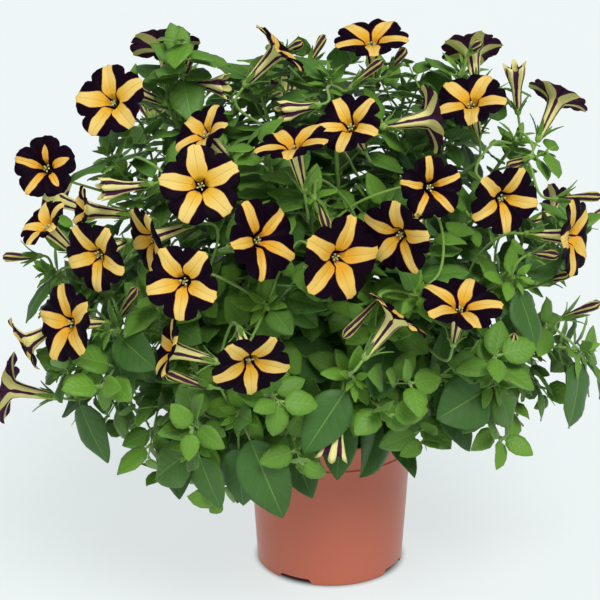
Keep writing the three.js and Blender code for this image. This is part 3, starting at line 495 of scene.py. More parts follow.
def read_stem(node):
    """The shoots, leaves and flower stalks of a leafy stem, as points in the frame."""
    skin = Skin(node)
    found = {"shoots": [], "leaves": [], "stalks": []}

    def read_shoot(ring, used, start):
        rings = [ring]
        while True:
            used = used | set(rings[-1])
            upper = skin.next_rung(rings[-1], used)
            if upper is None:
                break
            for i in range(4):
                j = (i + 1) % 4
                root = [rings[-1][i], rings[-1][j], upper[j], upper[i]]
                if skin.third[root[0], root[1]] not in root:
                    read_side(root)
            rings.append(upper)
        tip = skin.third[rings[-1][0], rings[-1][1]]
        points = skin.corners[rings]
        centres = points.mean(1)
        radii = np.linalg.norm(points[:, 0] - centres, axis=1)
        path = [*start, *centres, skin.corners[tip]]
        found["shoots"].append(dict(path=np.array(path), radii=[*radii[: len(start)], *radii, radii[-1]]))

    def read_side(root):
        first = skin.corners[skin.next_ring(root)]
        radius = np.linalg.norm(first - first.mean(0), axis=1).mean()
        if len(first) == 4 and SIDE_SHOOT[0] < radius < SIDE_SHOOT[1] and not is_slab(first):
            read_shoot(skin.next_ring(root), set(root), [skin.corners[root].mean(0)])
            return
        rings = [skin.corners[ring] for ring in skin.follow(root)]
        if len(rings[-1]) == 1 and is_slab(rings[-2]):
            found["leaves"].append(read_leaf(rings))
        else:
            found["stalks"].append(rings)

    floor_height = skin.corners[:, 2].min()
    foot = [i for i, corner in enumerate(skin.corners) if corner[2] < floor_height + WELD]
    ring = [foot[0]]
    while len(ring) < 4:
        ring += [b for b in foot if skin.third.get((ring[-1], b), ring[-1]) not in foot]
    read_shoot(ring, set(), [])
    return found


stems = {node: read_stem(node) for node in stem_nodes}
for part in ("shoots", "leaves", "stalks"):
    print("frame holds", sum(len(stem[part]) for stem in stems.values()), part)

# %% [markdown]
# A petunia leaf is a soft egg shape on a short stalk. Its two halves rise from the midrib like an
# open book, its margin waves a little, and the midrib stands out below. A flat card with a leaf
# picture would lose all that at the silhouette, so each leaf is a closed shell of two layers, with
# its rows bent along the same curve that the frame's leaf follows.

# %% A leaf's line and outline
def leaf_line(leaf, share):
    """Points along a leaf's middle, from its root at 0 to its tip at 1."""
    share = np.asarray(share, float)[:, None]
    fall = leaf["droop"] * share**2
    forward = leaf["along"] * leaf["reach"] * (share - PULL * fall)
    return leaf["root"] + forward - leaf["face"] * leaf["reach"] * fall


def blade_half(t):
    """A blade's half width, as a share of its greatest one."""
    return t**0.55 * (1 - t) ** 0.88 / 0.38


shares = np.linspace(0, 1, 101)
print("a blade is widest at", shares[blade_half(shares).argmax()], "of its length")

# %% [markdown]
# The blade is a grid of rows and columns, closer together near the midrib, where the form changes
# most. A subdivided plane with a thickness modifier would come out even, but a real blade is thin
# at its margin and has a keel below, along its midrib. So the lower layer is set by its own depth
# at each corner. Every leaf draws its own fold and its own waves from a seeded row of numbers.

# %% One fine blade
WIDE_COLUMNS = np.array([-1, -0.82, -0.58, -0.32, -0.1, 0, 0.1, 0.32, 0.58, 0.82, 1])
SMALL_COLUMNS = np.array([-1, -0.6, -0.18, 0, 0.18, 0.6, 1])
STRAP_COLUMNS = np.array([-1, -0.5, 0, 0.5, 1])
LARGE_ROWS, SMALL_ROWS, FEWEST_ROWS = 13, 8, 7
LEAF_THICKNESS = 0.5 * MM
MARGIN_THINNER = 0.6  # the share of its thickness that a blade loses at its margin
KEEL, KEEL_WIDTH = 0.5 * MM, 1.0 * MM
FOLD, RECURVE = (0.12, 0.4), (0.1, 0.35)  # the halves rise, and their margins fall back
WAVES, WAVE_HEIGHT = (1.2, 2.4), (0.015, 0.05)  # along a margin, and as a share of the width


def shell_faces(rows, columns):
    """Faces of a thin sheet with a front layer, a back layer and a wall round its edge."""
    numbers = np.arange(rows * columns).reshape(rows, columns)
    corner = [numbers[:-1, :-1], numbers[1:, :-1], numbers[1:, 1:], numbers[:-1, 1:]]
    front = np.stack(corner, -1).reshape(-1, 4)
    back = front[:, ::-1] + rows * columns
    edge = [*numbers[:, 0], *numbers[-1, 1:], *numbers[-2::-1, -1], *numbers[0, -2:0:-1]]
    here, after = np.array(edge), np.roll(edge, -1)
    wall = np.stack([after, here, here + rows * columns, after + rows * columns], -1)
    return np.concatenate([front, back, wall])


def add_blade(patches, leaf, columns, rows, tone, luck):
    t = 0.001 + 0.997 * (0.5 - 0.5 * np.cos(np.linspace(0, np.pi, rows)))
    line = leaf_line(leaf, leaf["petiole"] + (1 - leaf["petiole"]) * t)
    ahead = unit(np.gradient(line, axis=0))
    up = np.cross(ahead, leaf["side"])
    half = leaf["width"] / 2 * blade_half(t)[:, None]
    s, t = np.meshgrid(columns, t)
    lift = half * (luck.uniform(*FOLD) * np.abs(s) - luck.uniform(*RECURVE) * np.abs(s) ** 3)
    turns, start, beside = luck.uniform(*WAVES), luck.uniform(0, 6.3), luck.uniform(0, 3)
    wave = np.sin(2 * np.pi * turns * t + start + beside * np.sign(s))
    lift = lift + leaf["width"] * luck.uniform(*WAVE_HEIGHT) * s**2 * wave
    top = line[:, None] + (half * s)[..., None] * leaf["side"] + lift[..., None] * up[:, None]
    keel = KEEL * np.exp(-((half * s / KEEL_WIDTH) ** 2)) * (1 - t)
    depth = LEAF_THICKNESS * (1 - MARGIN_THINNER * s**4) + keel
    below = top - depth[..., None] * up[:, None]
    marks = dict(along=np.tile(t.ravel(), 2), across=np.tile(np.abs(s).ravel(), 2), tone=tone)
    marks["face"] = np.repeat([0.0, 1.0], t.size)
    patches.add(np.stack([top, below]), shell_faces(rows, len(columns)), LEAF, **marks)


print("a large leaf's blade has", len(shell_faces(LARGE_ROWS, len(WIDE_COLUMNS))), "faces")

# %% [markdown]
# The leaf's own stalk is a short tube that runs into the midrib. It could be left out on small
# leaves, but then they would float beside their twig. A small leaf's stalk has four sides and a
# large one's has six, because thousands of them are needed.

# %% A leaf with its stalk
FULL_STALK = 16 * MM  # a leaf at least this wide has a stalk of full thickness
PETIOLE_RADII = np.array([1.3, 1.0, 0.5]) * MM
NO_STALK = 0.05  # a leaf whose stalk is a smaller share of it than this sits on the stem


def add_leaf(patches, leaf, columns, rows, tone, luck):
    add_blade(patches, leaf, columns, rows, tone, luck)
    if leaf["petiole"] < NO_STALK:
        return
    middle = leaf_line(leaf, np.linspace(0, leaf["petiole"] + 0.06, 3)) - KEEL * leaf["face"]
    radii = PETIOLE_RADII * min(1.0, leaf["width"] / FULL_STALK)
    add_tube(patches, middle, radii, 6 if leaf["width"] > FULL_STALK else 4, STEM, tone=tone)


sample = Patches()
add_leaf(sample, stems[stem_nodes[0]]["leaves"][0], WIDE_COLUMNS, LARGE_ROWS, 0.5, draws("sample"))
print("the first large leaf has", sample.count, "corners with its stalk")

# %% [markdown]
# A petunia bloom is one piece of petal: a long tube that flares into a round limb with five lobes.
# It could be five petals side by side, but then the seams would show at the notches. Here it is a
# sheet turned round the bloom's own axis. First the frame's bloom is measured: its centre, the way
# it faces, where its lobes point, and how far each place on its edge stands forward.

# %% Reading a bloom
LOBES = 5
EDGE_CORNERS = 20  # of the frame's bloom
THROAT_RADIUS = 6.2 * MM
THROAT_DEPTH = 4.5 * MM
APEX_DEPTH = 14 * MM
TUBE_LENGTH = 36 * MM


def read_bloom(node):
    """A bloom's centre, the way it faces, where its lobes point, its size and its ruffles."""
    skin = Skin(node)
    spoke = math.hypot(THROAT_RADIUS, APEX_DEPTH - THROAT_DEPTH)
    for apex, near in enumerate(skin.near):
        throat = skin.corners[sorted(near)]
        lengths = np.linalg.norm(throat - skin.corners[apex], axis=1)
        if len(near) == LOBES and np.abs(lengths - spoke).max() < 0.1 * MM:
            break
    axis = unit(throat.mean(0) - skin.corners[apex])
    centre = throat.mean(0) + axis * THROAT_DEPTH
    top = unit(throat[0] - throat.mean(0))
    away = skin.corners - centre
    height = away @ axis
    radius = np.linalg.norm(away - height[:, None] * axis, axis=1)
    size = radius.max()
    angle = np.arctan2(away @ np.cross(axis, top), away @ top)
    step = np.round(angle / (2 * np.pi / EDGE_CORNERS)).astype(int) % EDGE_CORNERS
    on_edge = radius > 0.7 * size
    ruffle = [height[on_edge & (step == k)].mean() for k in range(EDGE_CORNERS)]
    return dict(centre=centre, axis=axis, top=top, size=size, ruffle=np.array(ruffle))


blooms = {node: read_bloom(node) for node in bloom_nodes}
print("bloom sizes, mm:", sorted(round(b["size"] * 2000) for b in blooms.values()))

# %% [markdown]
# Five yellow arms run from the throat to the edge, one in the middle of each lobe. They could be
# painted on as a texture, but a value at each corner bends with the petal and ends exactly at its
# edge. So each corner gets the reach of the arm at its place. Some blooms have slender orange arms
# and others broad cream ones, and in one of them three arms stop short of the edge.

# %% The arms of a bloom
PAST_EDGE = 1.2  # an arm that ends here runs out to the petal's edge
ARM_END = 0.2  # a shorter arm narrows to nothing over this share of the radius
ARM_WAVE = 0.09  # its borders wave by this share of its width
ARM_FLARE, FLARE_FROM = 0.35, 0.88  # near the bloom's edge it widens again
ARMS = {  # half width of the arms and how orange they are, in the blooms that show them best
    "bloom_02": (0.21, 0.3), "bloom_03": (0.115, 0.9), "bloom_10": (0.21, 0.4),
    "bloom_15": (0.21, 0.2), "bloom_21": (0.22, 0.1), "bloom_22": (0.14, 0.85),
    "bloom_23": (0.125, 0.7), "bloom_24": (0.19, 0.75), "bloom_25": (0.2, 0.4),
}
OTHER_WIDTHS, OTHER_WARMTHS = (0.16, 0.2), (0.25, 0.7)
SHORT_ARMS = {"bloom_03": (PAST_EDGE, PAST_EDGE, 0.78, 0.84, 0.72)}


def arm_half(q):
    """How far a yellow arm reaches to each side, as a share of its greatest half width."""
    return np.interp(q, [0.0, 0.11, 0.15, 0.2, 0.3, 0.4, 0.5, 0.65, 0.85, 1.0],
                     [-0.5, -0.02, 0.25, 0.48, 0.82, 0.97, 1.0, 0.96, 0.78, 0.66])


def draw_arms(name, angle, luck):
    """The arms' warmth, their greatest half widths, and a function for their reach at a radius."""
    width, warmth = ARMS.get(name, (luck.uniform(*OTHER_WIDTHS), luck.uniform(*OTHER_WARMTHS)))
    lobe = np.round(angle / (2 * np.pi / LOBES)).astype(int) % LOBES
    widths = width * luck.uniform(0.9, 1.12, LOBES)[lobe]
    ends = np.array(SHORT_ARMS.get(name, [PAST_EDGE] * LOBES))[lobe]
    border = 2 * lobe + (np.sin(angle - lobe * 2 * np.pi / LOBES) > 0)
    bends = luck.uniform(7, 13, 2 * LOBES)[border]
    phases = luck.uniform(0, 6.3, 2 * LOBES)[border]

    def reach(share):
        taper = np.clip((ends - share) / ARM_END, -1, 1)
        flare = ARM_FLARE * np.maximum(0, share - FLARE_FROM)
        wavy = 1 + ARM_WAVE * np.sin(bends * share + phases) + flare
        return widths * wavy * arm_half(share) * np.sign(taper) * np.abs(taper) ** 0.6

    return warmth, widths, reach


shares = np.linspace(0, 1, 101)
print("an arm is widest at", shares[arm_half(shares).argmax()], "of the bloom's radius")

# %% [markdown]
# The limb's edge runs out to a small point in the middle of each lobe and in to a notch between two
# lobes. The ruffles of the frame's bloom are kept and made finer with a few ripples. Noise alone
# would ruffle the edge too, but it knows nothing of lobes, and it is the points and notches that
# tell a petunia from a morning glory.

# %% The edge of a bloom
AROUND = 80
SHOULDERS, NOTCHED = 0.05, 0.14  # how far the edge falls back beside a lobe's point, and in a notch
POINTED, POINT_WIDTH = 0.035, 0.14  # the point itself
WAVY, EDGE_WAVES, FRAYED = 0.012, 9, 0.006
RIPPLES, RIPPLE_HEIGHT = 4, 0.35 * MM
corner_angles = np.linspace(0, 2 * np.pi, AROUND, endpoint=False)
from_point = np.abs((corner_angles / (np.pi / LOBES) + 1) % 2 - 1)  # 0 at a point, 1 in a notch


def petal_edge(size, luck):
    """The radius of the bloom's edge at each of its corners."""
    edge = size * (1 - SHOULDERS * from_point**2 - NOTCHED * from_point**8)
    edge = edge * (1 + WAVY * np.sin(EDGE_WAVES * corner_angles + luck.uniform(0, 6)))
    point = POINTED * np.maximum(0, 1 - from_point / POINT_WIDTH)
    return edge * (1 + point + FRAYED * luck.normal(size=AROUND))


def petal_ruffle(coarse, luck):
    """How far the edge stands forward at each of its corners."""
    turns = np.arange(EDGE_CORNERS + 1) * 2 * np.pi / EDGE_CORNERS
    ruffle = np.interp(corner_angles, turns, np.append(coarse, coarse[0]))
    for ripples in luck.integers(7, 16, RIPPLES):
        ruffle = ruffle + RIPPLE_HEIGHT * np.sin(ripples * corner_angles + luck.uniform(0, 6))
    return ruffle


example = petal_edge(25 * MM, draws("example"))
print("the edge of a 50 mm bloom lies", (example / MM).round(1).min(), "to",
      (example / MM).round(1).max(), "mm from its middle")

# %% [markdown]
# Now the whole bloom, ring after ring: up out of the throat, over the front of the limb to its
# edge, back over its rear and down the tube. A flat sheet with a thickness modifier would have been
# shorter to write, but the tube and the limb would meet in a crease, and the rear would be painted
# like the front. Here the rings after the edge are marked as the back.

# %% One fine bloom
THROAT_RINGS = ((22, 2.2), (17, 2.7), (12.5, 3.3), (9.5, 4.0), (7.3, 4.8), (5.7, 5.5))
FRONT_RINGS = (0, 0.05, 0.12, 0.2, 0.29, 0.39, 0.49, 0.59, 0.69, 0.78, 0.86, 0.93, 0.975, 1)
BACK_RINGS = (0.985, 0.92, 0.82, 0.7, 0.56, 0.42, 0.28, 0.14, 0)
TUBE_RINGS = ((7.5, 6.1), (11, 5.1), (15, 4.5), (20, 4.0), (25, 3.4), (31, 2.8), (36, 2.3))
PETAL_THICKNESS = 0.45 * MM
BACK_WIDER, BACK_DEEPER = 0.8 * MM, 0.4 * MM  # round the throat, where the petal is thickest
EDGE_FALL, GROOVE, RIB = 1.1 * MM, 0.6 * MM, 0.25 * MM
RIDGE_WIDTH, VALLEY_WIDTH = 0.12, 0.1  # from each notch inwards, and down the middle of each lobe
BACK_BAND = 0.38  # a pale band on the tube reaches this far to each side


def add_bloom(patches, name, bloom):
    luck = draws(name)
    size, axis, top = bloom["size"], bloom["axis"], bloom["top"]
    side = np.cross(axis, top)
    edge = petal_edge(size, luck)
    ruffle = petal_ruffle(bloom["ruffle"], luck)
    warmth, widths, reach = draw_arms(name, corner_angles, luck)
    groove = np.exp(-((from_point - 1) / RIDGE_WIDTH) ** 2)
    groove = groove - 0.5 * np.exp(-((from_point / VALLEY_WIDTH) ** 2))
    rings, marks = [], {"along": [], "across": [], "arm": [], "face": []}

    def ring(radius, height, along, face, arm):
        radius = np.broadcast_to(radius, AROUND)
        place = bloom["centre"] + np.outer(radius * np.cos(corner_angles), top)
        place = place + np.outer(radius * np.sin(corner_angles), side)
        rings.append(place + np.outer(height, axis))
        marks["along"].append(np.full(AROUND, along))
        marks["across"].append(radius / size * np.sin(from_point * np.pi / LOBES))
        marks["arm"].append(np.broadcast_to(arm, AROUND))
        marks["face"].append(np.full(AROUND, face))

    def limb(q, back):
        start = THROAT_RADIUS + BACK_WIDER * back
        radius = start + (edge - start) * q
        height = -(THROAT_DEPTH + BACK_DEEPER * back) * (1 - q) ** 2.0 + ruffle * q**2.2
        height = height - EDGE_FALL * q**8 + GROOVE * groove * q * (1 - q) * 4
        height = height - PETAL_THICKNESS * back * (1 - 0.5 * q)
        share = radius / size
        arm = reach(share)
        if back:
            arm = np.maximum(arm, BACK_BAND * share * (1 - q) ** 2 + 0.75 * widths * q)
        ring(radius, height, share.mean(), float(back), arm)

    for depth, radius in THROAT_RINGS:
        share = radius * MM / size
        ring(radius * MM, -depth * MM, share, 0.0, widths * arm_half(share))
    for q in FRONT_RINGS:
        limb(q, 0)
    for q in BACK_RINGS:
        limb(q, 1)
    ribs = RIB * np.cos(LOBES * corner_angles)
    for depth, radius in TUBE_RINGS:
        share = radius * MM / size
        ring(radius * MM + ribs, -depth * MM, -depth * MM / TUBE_LENGTH, 1.0, BACK_BAND * share)
    faces = tube_faces(AROUND, len(rings))[:, ::-1]
    values = {key: np.concatenate(found) for key, found in marks.items()}
    patches.add(np.array(rings), faces, PETAL, tone=warmth, **values)


sample = Patches()
add_bloom(sample, bloom_nodes[0], blooms[bloom_nodes[0]])
print("a bloom has", sample.count, "corners and", len(sample.faces), "faces")

# %% [markdown]
# Deep in a petunia's throat sit five pale anthers round a green stigma. From a metre away they are
# a few light specks in the dark, so they could be a speckled texture. But a flower is a thing that
# people bend over and look into, and each one is only a small oval knob on a thread.

# %% The throat's small parts
ANTHER, STIGMA = (1.8 * MM, 0.6 * MM), (1.3 * MM, 1.0 * MM)  # length and radius of each knob
ANTHERS = 5
ANTHER_DEPTHS, ANTHER_SPREAD = (5.2, 8.0), (1.5, 2.3)  # mm down the throat, and from its axis
THREAD_RADIUS, STYLE_RADIUS = 0.2 * MM, 0.35 * MM
THREAD_FOOT, STIGMA_DEPTH = 20, 5.6  # mm down the throat


def add_knob(patches, centre, axis, length, radius, slot, **values):
    """A small oval body, such as an anther."""
    t = np.linspace(-1, 1, 7)
    radii = radius * np.sqrt(np.maximum(1 - t**2, 0.05))
    add_tube(patches, centre + np.outer(t * length / 2, axis), radii, 8, slot, **values)


def add_heart(patches, name, bloom):
    """Five anthers with pollen round a green stigma, each on its thread."""
    luck = draws("heart " + name)
    axis, top, centre = bloom["axis"], bloom["top"], bloom["centre"]
    side = np.cross(axis, top)
    deep = centre - axis * THREAD_FOOT * MM
    for k in range(ANTHERS):
        turn = 2 * np.pi * (k + 0.5) / ANTHERS + luck.uniform(-0.3, 0.3)
        out = np.cos(turn) * top + np.sin(turn) * side
        place = centre - axis * luck.uniform(*ANTHER_DEPTHS) * MM
        place = place + out * luck.uniform(*ANTHER_SPREAD) * MM
        add_knob(patches, place, unit(out + 0.6 * axis), *ANTHER, HEART, tone=0.0)
        thread = [deep + out * 1.2 * MM, place - axis * 2 * MM, place]
        add_tube(patches, thread, THREAD_RADIUS, 4, HEART, tone=1.0)
    head = centre - axis * STIGMA_DEPTH * MM + 0.4 * MM * top
    add_knob(patches, head, axis, *STIGMA, HEART, tone=1.0)
    add_tube(patches, [deep, head - axis * 3 * MM, head], STYLE_RADIUS, 4, HEART, tone=1.0)


sample = Patches()
add_heart(sample, bloom_nodes[0], blooms[bloom_nodes[0]])
print("the small parts of a throat have", len(sample.faces), "faces")

# %% [markdown]
# A petunia is downy all over: short, sticky hairs stand on its stems, stalks and cups, and catch the
# light at the outline. Blender's own hair would be the quick way, but hair curves are lost when
# the model is exported. So each hair is a needle of four small faces, and only the stems, the
# stalks and the straps of the cups carry them, because there they show at the outline.

# %% Hairs
HAIR_LENGTH = 1.2 * MM
HAIR_RADIUS = 0.06 * MM
HAIR_LEAN = 0.35
HAIR_LINES = 10  # the lines along a stem that its hairs stand on
NEEDLE = np.array([[0, 1, 3], [1, 2, 3], [2, 0, 3], [2, 1, 0]])  # three sides and a base


def add_hairs(patches, roots, out, luck):
    """Fine three-sided needles that stand on the given points."""
    side = unit(np.cross(out, [0.2, 0.5, 0.84]))
    other = np.cross(out, side)
    turns = 2 * np.pi * np.arange(3) / 3
    base = [roots + HAIR_RADIUS * (math.cos(a) * side + math.sin(a) * other) for a in turns]
    lean = unit(out + HAIR_LEAN * luck.normal(size=out.shape))
    tips = roots + lean * HAIR_LENGTH * luck.uniform(0.5, 1.2, (len(roots), 1))
    first = 4 * np.arange(len(roots))[:, None, None]
    patches.add(np.stack([*base, tips], 1), (first + NEEDLE).reshape(-1, 3), HAIR, tone=1.0)


def add_tube_hairs(patches, path, radii, spacing, luck):
    """Hairs all round a tube, as many as its length asks for."""
    rings = tube_rings(path, radii, HAIR_LINES)
    count = int(lengths_along(path)[-1] / spacing)
    row, column = luck.integers(1, len(path) - 1, count), luck.integers(0, HAIR_LINES, count)
    between = luck.random((count, 1))
    roots = rings[row, column] * between + rings[row - 1, column] * (1 - between)
    middle = np.asarray(path)[row] * between + np.asarray(path)[row - 1] * (1 - between)
    add_hairs(patches, roots, unit(roots - middle), luck)


print("a hair is", HAIR_LENGTH / MM, "mm long and", 2 * HAIR_RADIUS / MM, "mm thick")

# %% [markdown]
# The stems are soft green tubes, more olive and thicker at the foot. They could be cylinders
# joined end to end, but a bent stem would show its joints, so each tube follows one smooth curve
# through the frame's rungs. The twigs that are added further on grow from the same function.

# %% Shoots
STEM_SHARE = 0.85  # a round stem inside the frame's square one
STEM_TIP = 0.4  # how thick its last ring is, as a share of the one before
STEM_STEP = 50 * MM  # over a stem's number of sides, this is how far apart its rings lie
STEM_HAIRS, STALK_HAIRS = 3 * MM, 1.2 * MM  # one hair for each such length
FRESHEST = 0.7  # the tone at a shoot's tip
SHOOT_SIDES, TWIG_SIDES = 10, 6


def add_shoot(patches, shoot, sides, luck):
    path = smooth_path(shoot["path"], STEM_STEP / sides)
    length, at = lengths_along(shoot["path"]), lengths_along(path)
    at = at * length[-1] / at[-1]
    radii = STEM_SHARE * np.interp(at, length, np.array(shoot["radii"])[: len(length)])
    radii[-1] *= STEM_TIP
    tone = np.repeat(at / length[-1], sides) * FRESHEST
    add_tube(patches, path, radii, sides, STEM, tone=tone)
    add_tube_hairs(patches, path, radii, STEM_HAIRS, luck)


sample = Patches()
add_shoot(sample, stems[stem_nodes[0]]["shoots"][0], SHOOT_SIDES, draws("sample"))
print("the first shoot has", len(sample.faces), "faces with its hairs")

# %% [markdown]
# A flower sits in a green cup, whose rim runs out into five narrow straps. They are hairy, and they
# spread round the foot of the bloom like the fingers of a hand. The cup could be a cone with five
# cuts. But a strap bends and has a midrib as a leaf has, so the function for leaves makes it, with
# fewer columns, and its hairs stand along both margins.

# %% Flower cups
CUP_HEIGHTS = np.array([0, 0.6, 2.2, 4.5, 5.5, 4.5, 2.5]) * MM
CUP_WIDTHS = np.array([0.45, 0.7, 0.9, 1.0, 1.02, 0.85, 0.7])
STRAPS, STRAP_WIDTH, STRAP_HAIRS = 5, 3.3 * MM, 14
STRAP_FOOT = 3.5 * MM  # how high in the cup the straps begin
CUP_RADIUS, BUD_CUP_RADIUS = 2.8 * MM, 2.3 * MM
BLOOM_STRAPS, TRUMPET_STRAPS, BUD_STRAPS = 13 * MM, 10 * MM, 0.45  # the last as a share of the bud


def add_strap(patches, root, out, axis, length, curl, luck):
    """One narrow, hairy strap of a flower cup."""
    along = unit(axis + 0.25 * out)
    face = unit(out - along * (out @ along))
    strap = dict(root=root, along=along, side=np.cross(face, along), face=face, reach=length,
                 droop=-curl, petiole=0.02, width=STRAP_WIDTH)
    add_leaf(patches, strap, STRAP_COLUMNS, FEWEST_ROWS, luck.uniform(0.5, 0.8), luck)
    share = luck.uniform(0.1, 0.95, STRAP_HAIRS)
    edge = luck.choice([-1.0, 1.0], STRAP_HAIRS)[:, None]
    reach = STRAP_WIDTH / 2 * blade_half(share)[:, None] * edge
    out = unit(edge * strap["side"] + 0.6 * luck.normal(size=(STRAP_HAIRS, 1)) * face)
    add_hairs(patches, leaf_line(strap, share) + reach * strap["side"], out, luck)


def add_cup(patches, foot, axis, radius, length, luck):
    """A flower's cup: a short green bowl with five straps."""
    middle = foot + np.outer(CUP_HEIGHTS, axis)
    add_tube(patches, middle, CUP_WIDTHS * radius, 10, STEM, axis, tone=0.6)
    start = unit(np.cross(axis, [0.31, 0.77, 0.4]))
    for k in range(STRAPS):
        turn = 2 * np.pi * k / STRAPS + luck.uniform(-0.15, 0.15)
        out = np.cos(turn) * start + np.sin(turn) * np.cross(axis, start)
        root = foot + axis * STRAP_FOOT + out * radius * 0.95
        strap_length = length * luck.uniform(0.85, 1.1)
        add_strap(patches, root, out, axis, strap_length, luck.uniform(-0.1, 0.6), luck)


sample = Patches()
add_cup(sample, np.zeros(3), np.array([0, 0, 1.0]), CUP_RADIUS, BLOOM_STRAPS, draws("sample"))
print("a flower cup has", len(sample.faces), "faces with its straps and hairs")

# %% [markdown]
# A petunia bud is the whole flower rolled up: five pleats that wind round a slim spindle, with the
# petals' stripes on the outside. A half-open bloom is the same thing one day later, a trumpet with
# folds at its mouth. Both could be the open bloom bent by a modifier. Turning one pleated outline
# round the stalk's own axis is simpler, and it gives every bud its own length and twist.

# %% Buds and half-open blooms
PLEATS, PLEATED_CORNERS = 5, 40
FULL_RADIUS = 30 * MM  # the stripes are drawn as on a limb of this radius
TURN_OF_BUD, TURN_OF_TRUMPET = 1.3, 0.3  # how far the pleats wind round, in radians
BUD_RADIUS = 3.2 * MM
TRUMPET_LOBES = 2.2 * MM  # how far the lobes stand out at its mouth
TRUMPET_WALL = 0.6 * MM


def add_turned(patches, foot, axis, top, heights, radii, folds, twist, tone, lobes=0.0):
    """A turned skin with five pleats that wind round it, and lobes that stand out at its mouth."""
    angle = np.linspace(0, 2 * np.pi, PLEATED_CORNERS, endpoint=False)
    side = np.cross(axis, top)
    pleat = np.abs((angle / (np.pi / PLEATS) + 1) % 2 - 1)
    rings = []
    for height, radius, fold in zip(heights, radii, folds):
        wide = radius * (1 + fold * np.cos(PLEATS * angle))
        turn = angle + twist * (height - heights[0]) / (heights.max() - heights.min())
        rise = height + lobes * np.cos(PLEATS * angle) * (height / heights.max()) ** 6
        rings.append(foot + np.outer(rise, axis) + np.outer(wide * np.cos(turn), top)
                     + np.outer(wide * np.sin(turn), side))
    share = np.clip(np.asarray(radii) / FULL_RADIUS, 0.02, 1)
    across = np.outer(share, np.sin(pleat * np.pi / PLEATS))
    arm = np.repeat((BACK_BAND - 0.15 * tone) * share, PLEATED_CORNERS)
    patches.add(np.array(rings), tube_faces(PLEATED_CORNERS, len(rings)), PETAL, along=-0.5,
                across=across, face=1.0, tone=tone, arm=arm)


def add_bud(patches, foot, axis, length, luck):
    t = np.linspace(0.04, 1, 12)
    shape = np.interp(t, [0, 0.25, 0.5, 0.78, 0.92, 1], [0.56, 0.64, 0.78, 1.0, 0.9, 0.3])
    folds = 0.06 + 0.22 * t**2
    top = unit(np.cross(axis, luck.normal(size=3)))
    add_turned(patches, foot, axis, top, t * length, BUD_RADIUS * shape, folds, TURN_OF_BUD, 1.0)


def add_trumpet(patches, foot, axis, top, length, mouth):
    t = np.array([0.02, 0.12, 0.25, 0.4, 0.55, 0.7, 0.82, 0.92, 1.0, 0.985, 0.9, 0.78, 0.62, 0.5])
    outer = np.interp(t, [0, 0.1, 0.4, 0.6, 0.8, 1], [2.2, 2.6, 3.3, 4.2, 6.5, mouth / MM])
    inside = np.arange(len(t)) > t.argmax()
    radii = outer * MM - np.where(inside, TRUMPET_WALL, 0)
    folds = 0.04 + 0.26 * t**4
    add_turned(patches, foot, axis, top, t * length, radii, folds, TURN_OF_TRUMPET, 0.4, TRUMPET_LOBES)


sample = Patches()
add_bud(sample, np.zeros(3), np.array([0, 0, 1.0]), 30 * MM, draws("sample"))
print("a furled bud has", len(sample.faces), "faces")

# %% [markdown]
# Every flower stands on a thin stalk of its own. In the frame a stalk ends in one of three ways: in
# a ring of ten corners under an open bloom, in rings of five that widen to a half-open trumpet, or
# in the slim spindle of a bud. Marking each stalk by hand would be the plain way, but the number of
# corners already tells them apart.

# %% Flower stalks
STALK_RADIUS = 0.95 * MM
UNDER_BLOOM, ROUND_TRUMPET = 10, 5  # corners in the frame's rings
BUD_SHARE = 0.88  # the part of a bud that stands above its stalk's last ring


def add_stalk(green, petals, rings, luck):
    """A flower stalk with its cup, and its bud or half-open trumpet where it carries one."""
    centres = [ring.mean(0) for ring in rings]
    sizes = [len(ring) for ring in rings]
    head = sizes.index(ROUND_TRUMPET) if ROUND_TRUMPET in sizes else len(rings) - 3
    path = smooth_path(centres[: head + 1], 4 * MM)
    add_tube(green, path, STALK_RADIUS, 8, STEM, tone=0.6)
    add_tube_hairs(green, path, STALK_RADIUS, STALK_HAIRS, luck)
    if UNDER_BLOOM in sizes:
        axis = unit(centres[-1] - centres[head])
        add_cup(green, centres[head] - axis * MM, axis, CUP_RADIUS, BLOOM_STRAPS, luck)
        return "cup"
    if ROUND_TRUMPET in sizes:
        length = np.linalg.norm(centres[-2] - centres[head])
        axis = unit(centres[-2] - centres[head])
        foot = centres[head] - 0.1 * length * axis
        corner = rings[-2][0] - centres[-2]
        add_trumpet(petals, foot, axis, unit(corner), length, np.linalg.norm(corner))
        add_cup(green, foot - axis * 2 * MM, axis, CUP_RADIUS, TRUMPET_STRAPS, luck)
        return "trumpet"
    tip = centres[-1] if sizes[-1] == 1 else centres[-2]
    axis = unit(tip - centres[head])
    length = np.linalg.norm(tip - centres[head]) / BUD_SHARE
    foot = tip - axis * length
    add_bud(petals, foot, axis, length, luck)
    add_cup(green, foot - axis * 1.5 * MM, axis, BUD_CUP_RADIUS, BUD_STRAPS * length, luck)
    return "bud"


under_blooms = [UNDER_BLOOM in map(len, rings) for stem in stems.values() for rings in stem["stalks"]]
print(sum(under_blooms), "of", len(under_blooms), "flower stalks carry an open bloom")

# %% [markdown]
# The pot is thin plastic: a straight taper with a deep band at the rim, a rolled lip, four notches
# in the foot and a raised channel with drain holes underneath. A modelled cone would do for the
# picture, but the foot and the underside are seen in other views, so the whole wall is turned from
# one profile and the notches and holes are cut out of it.

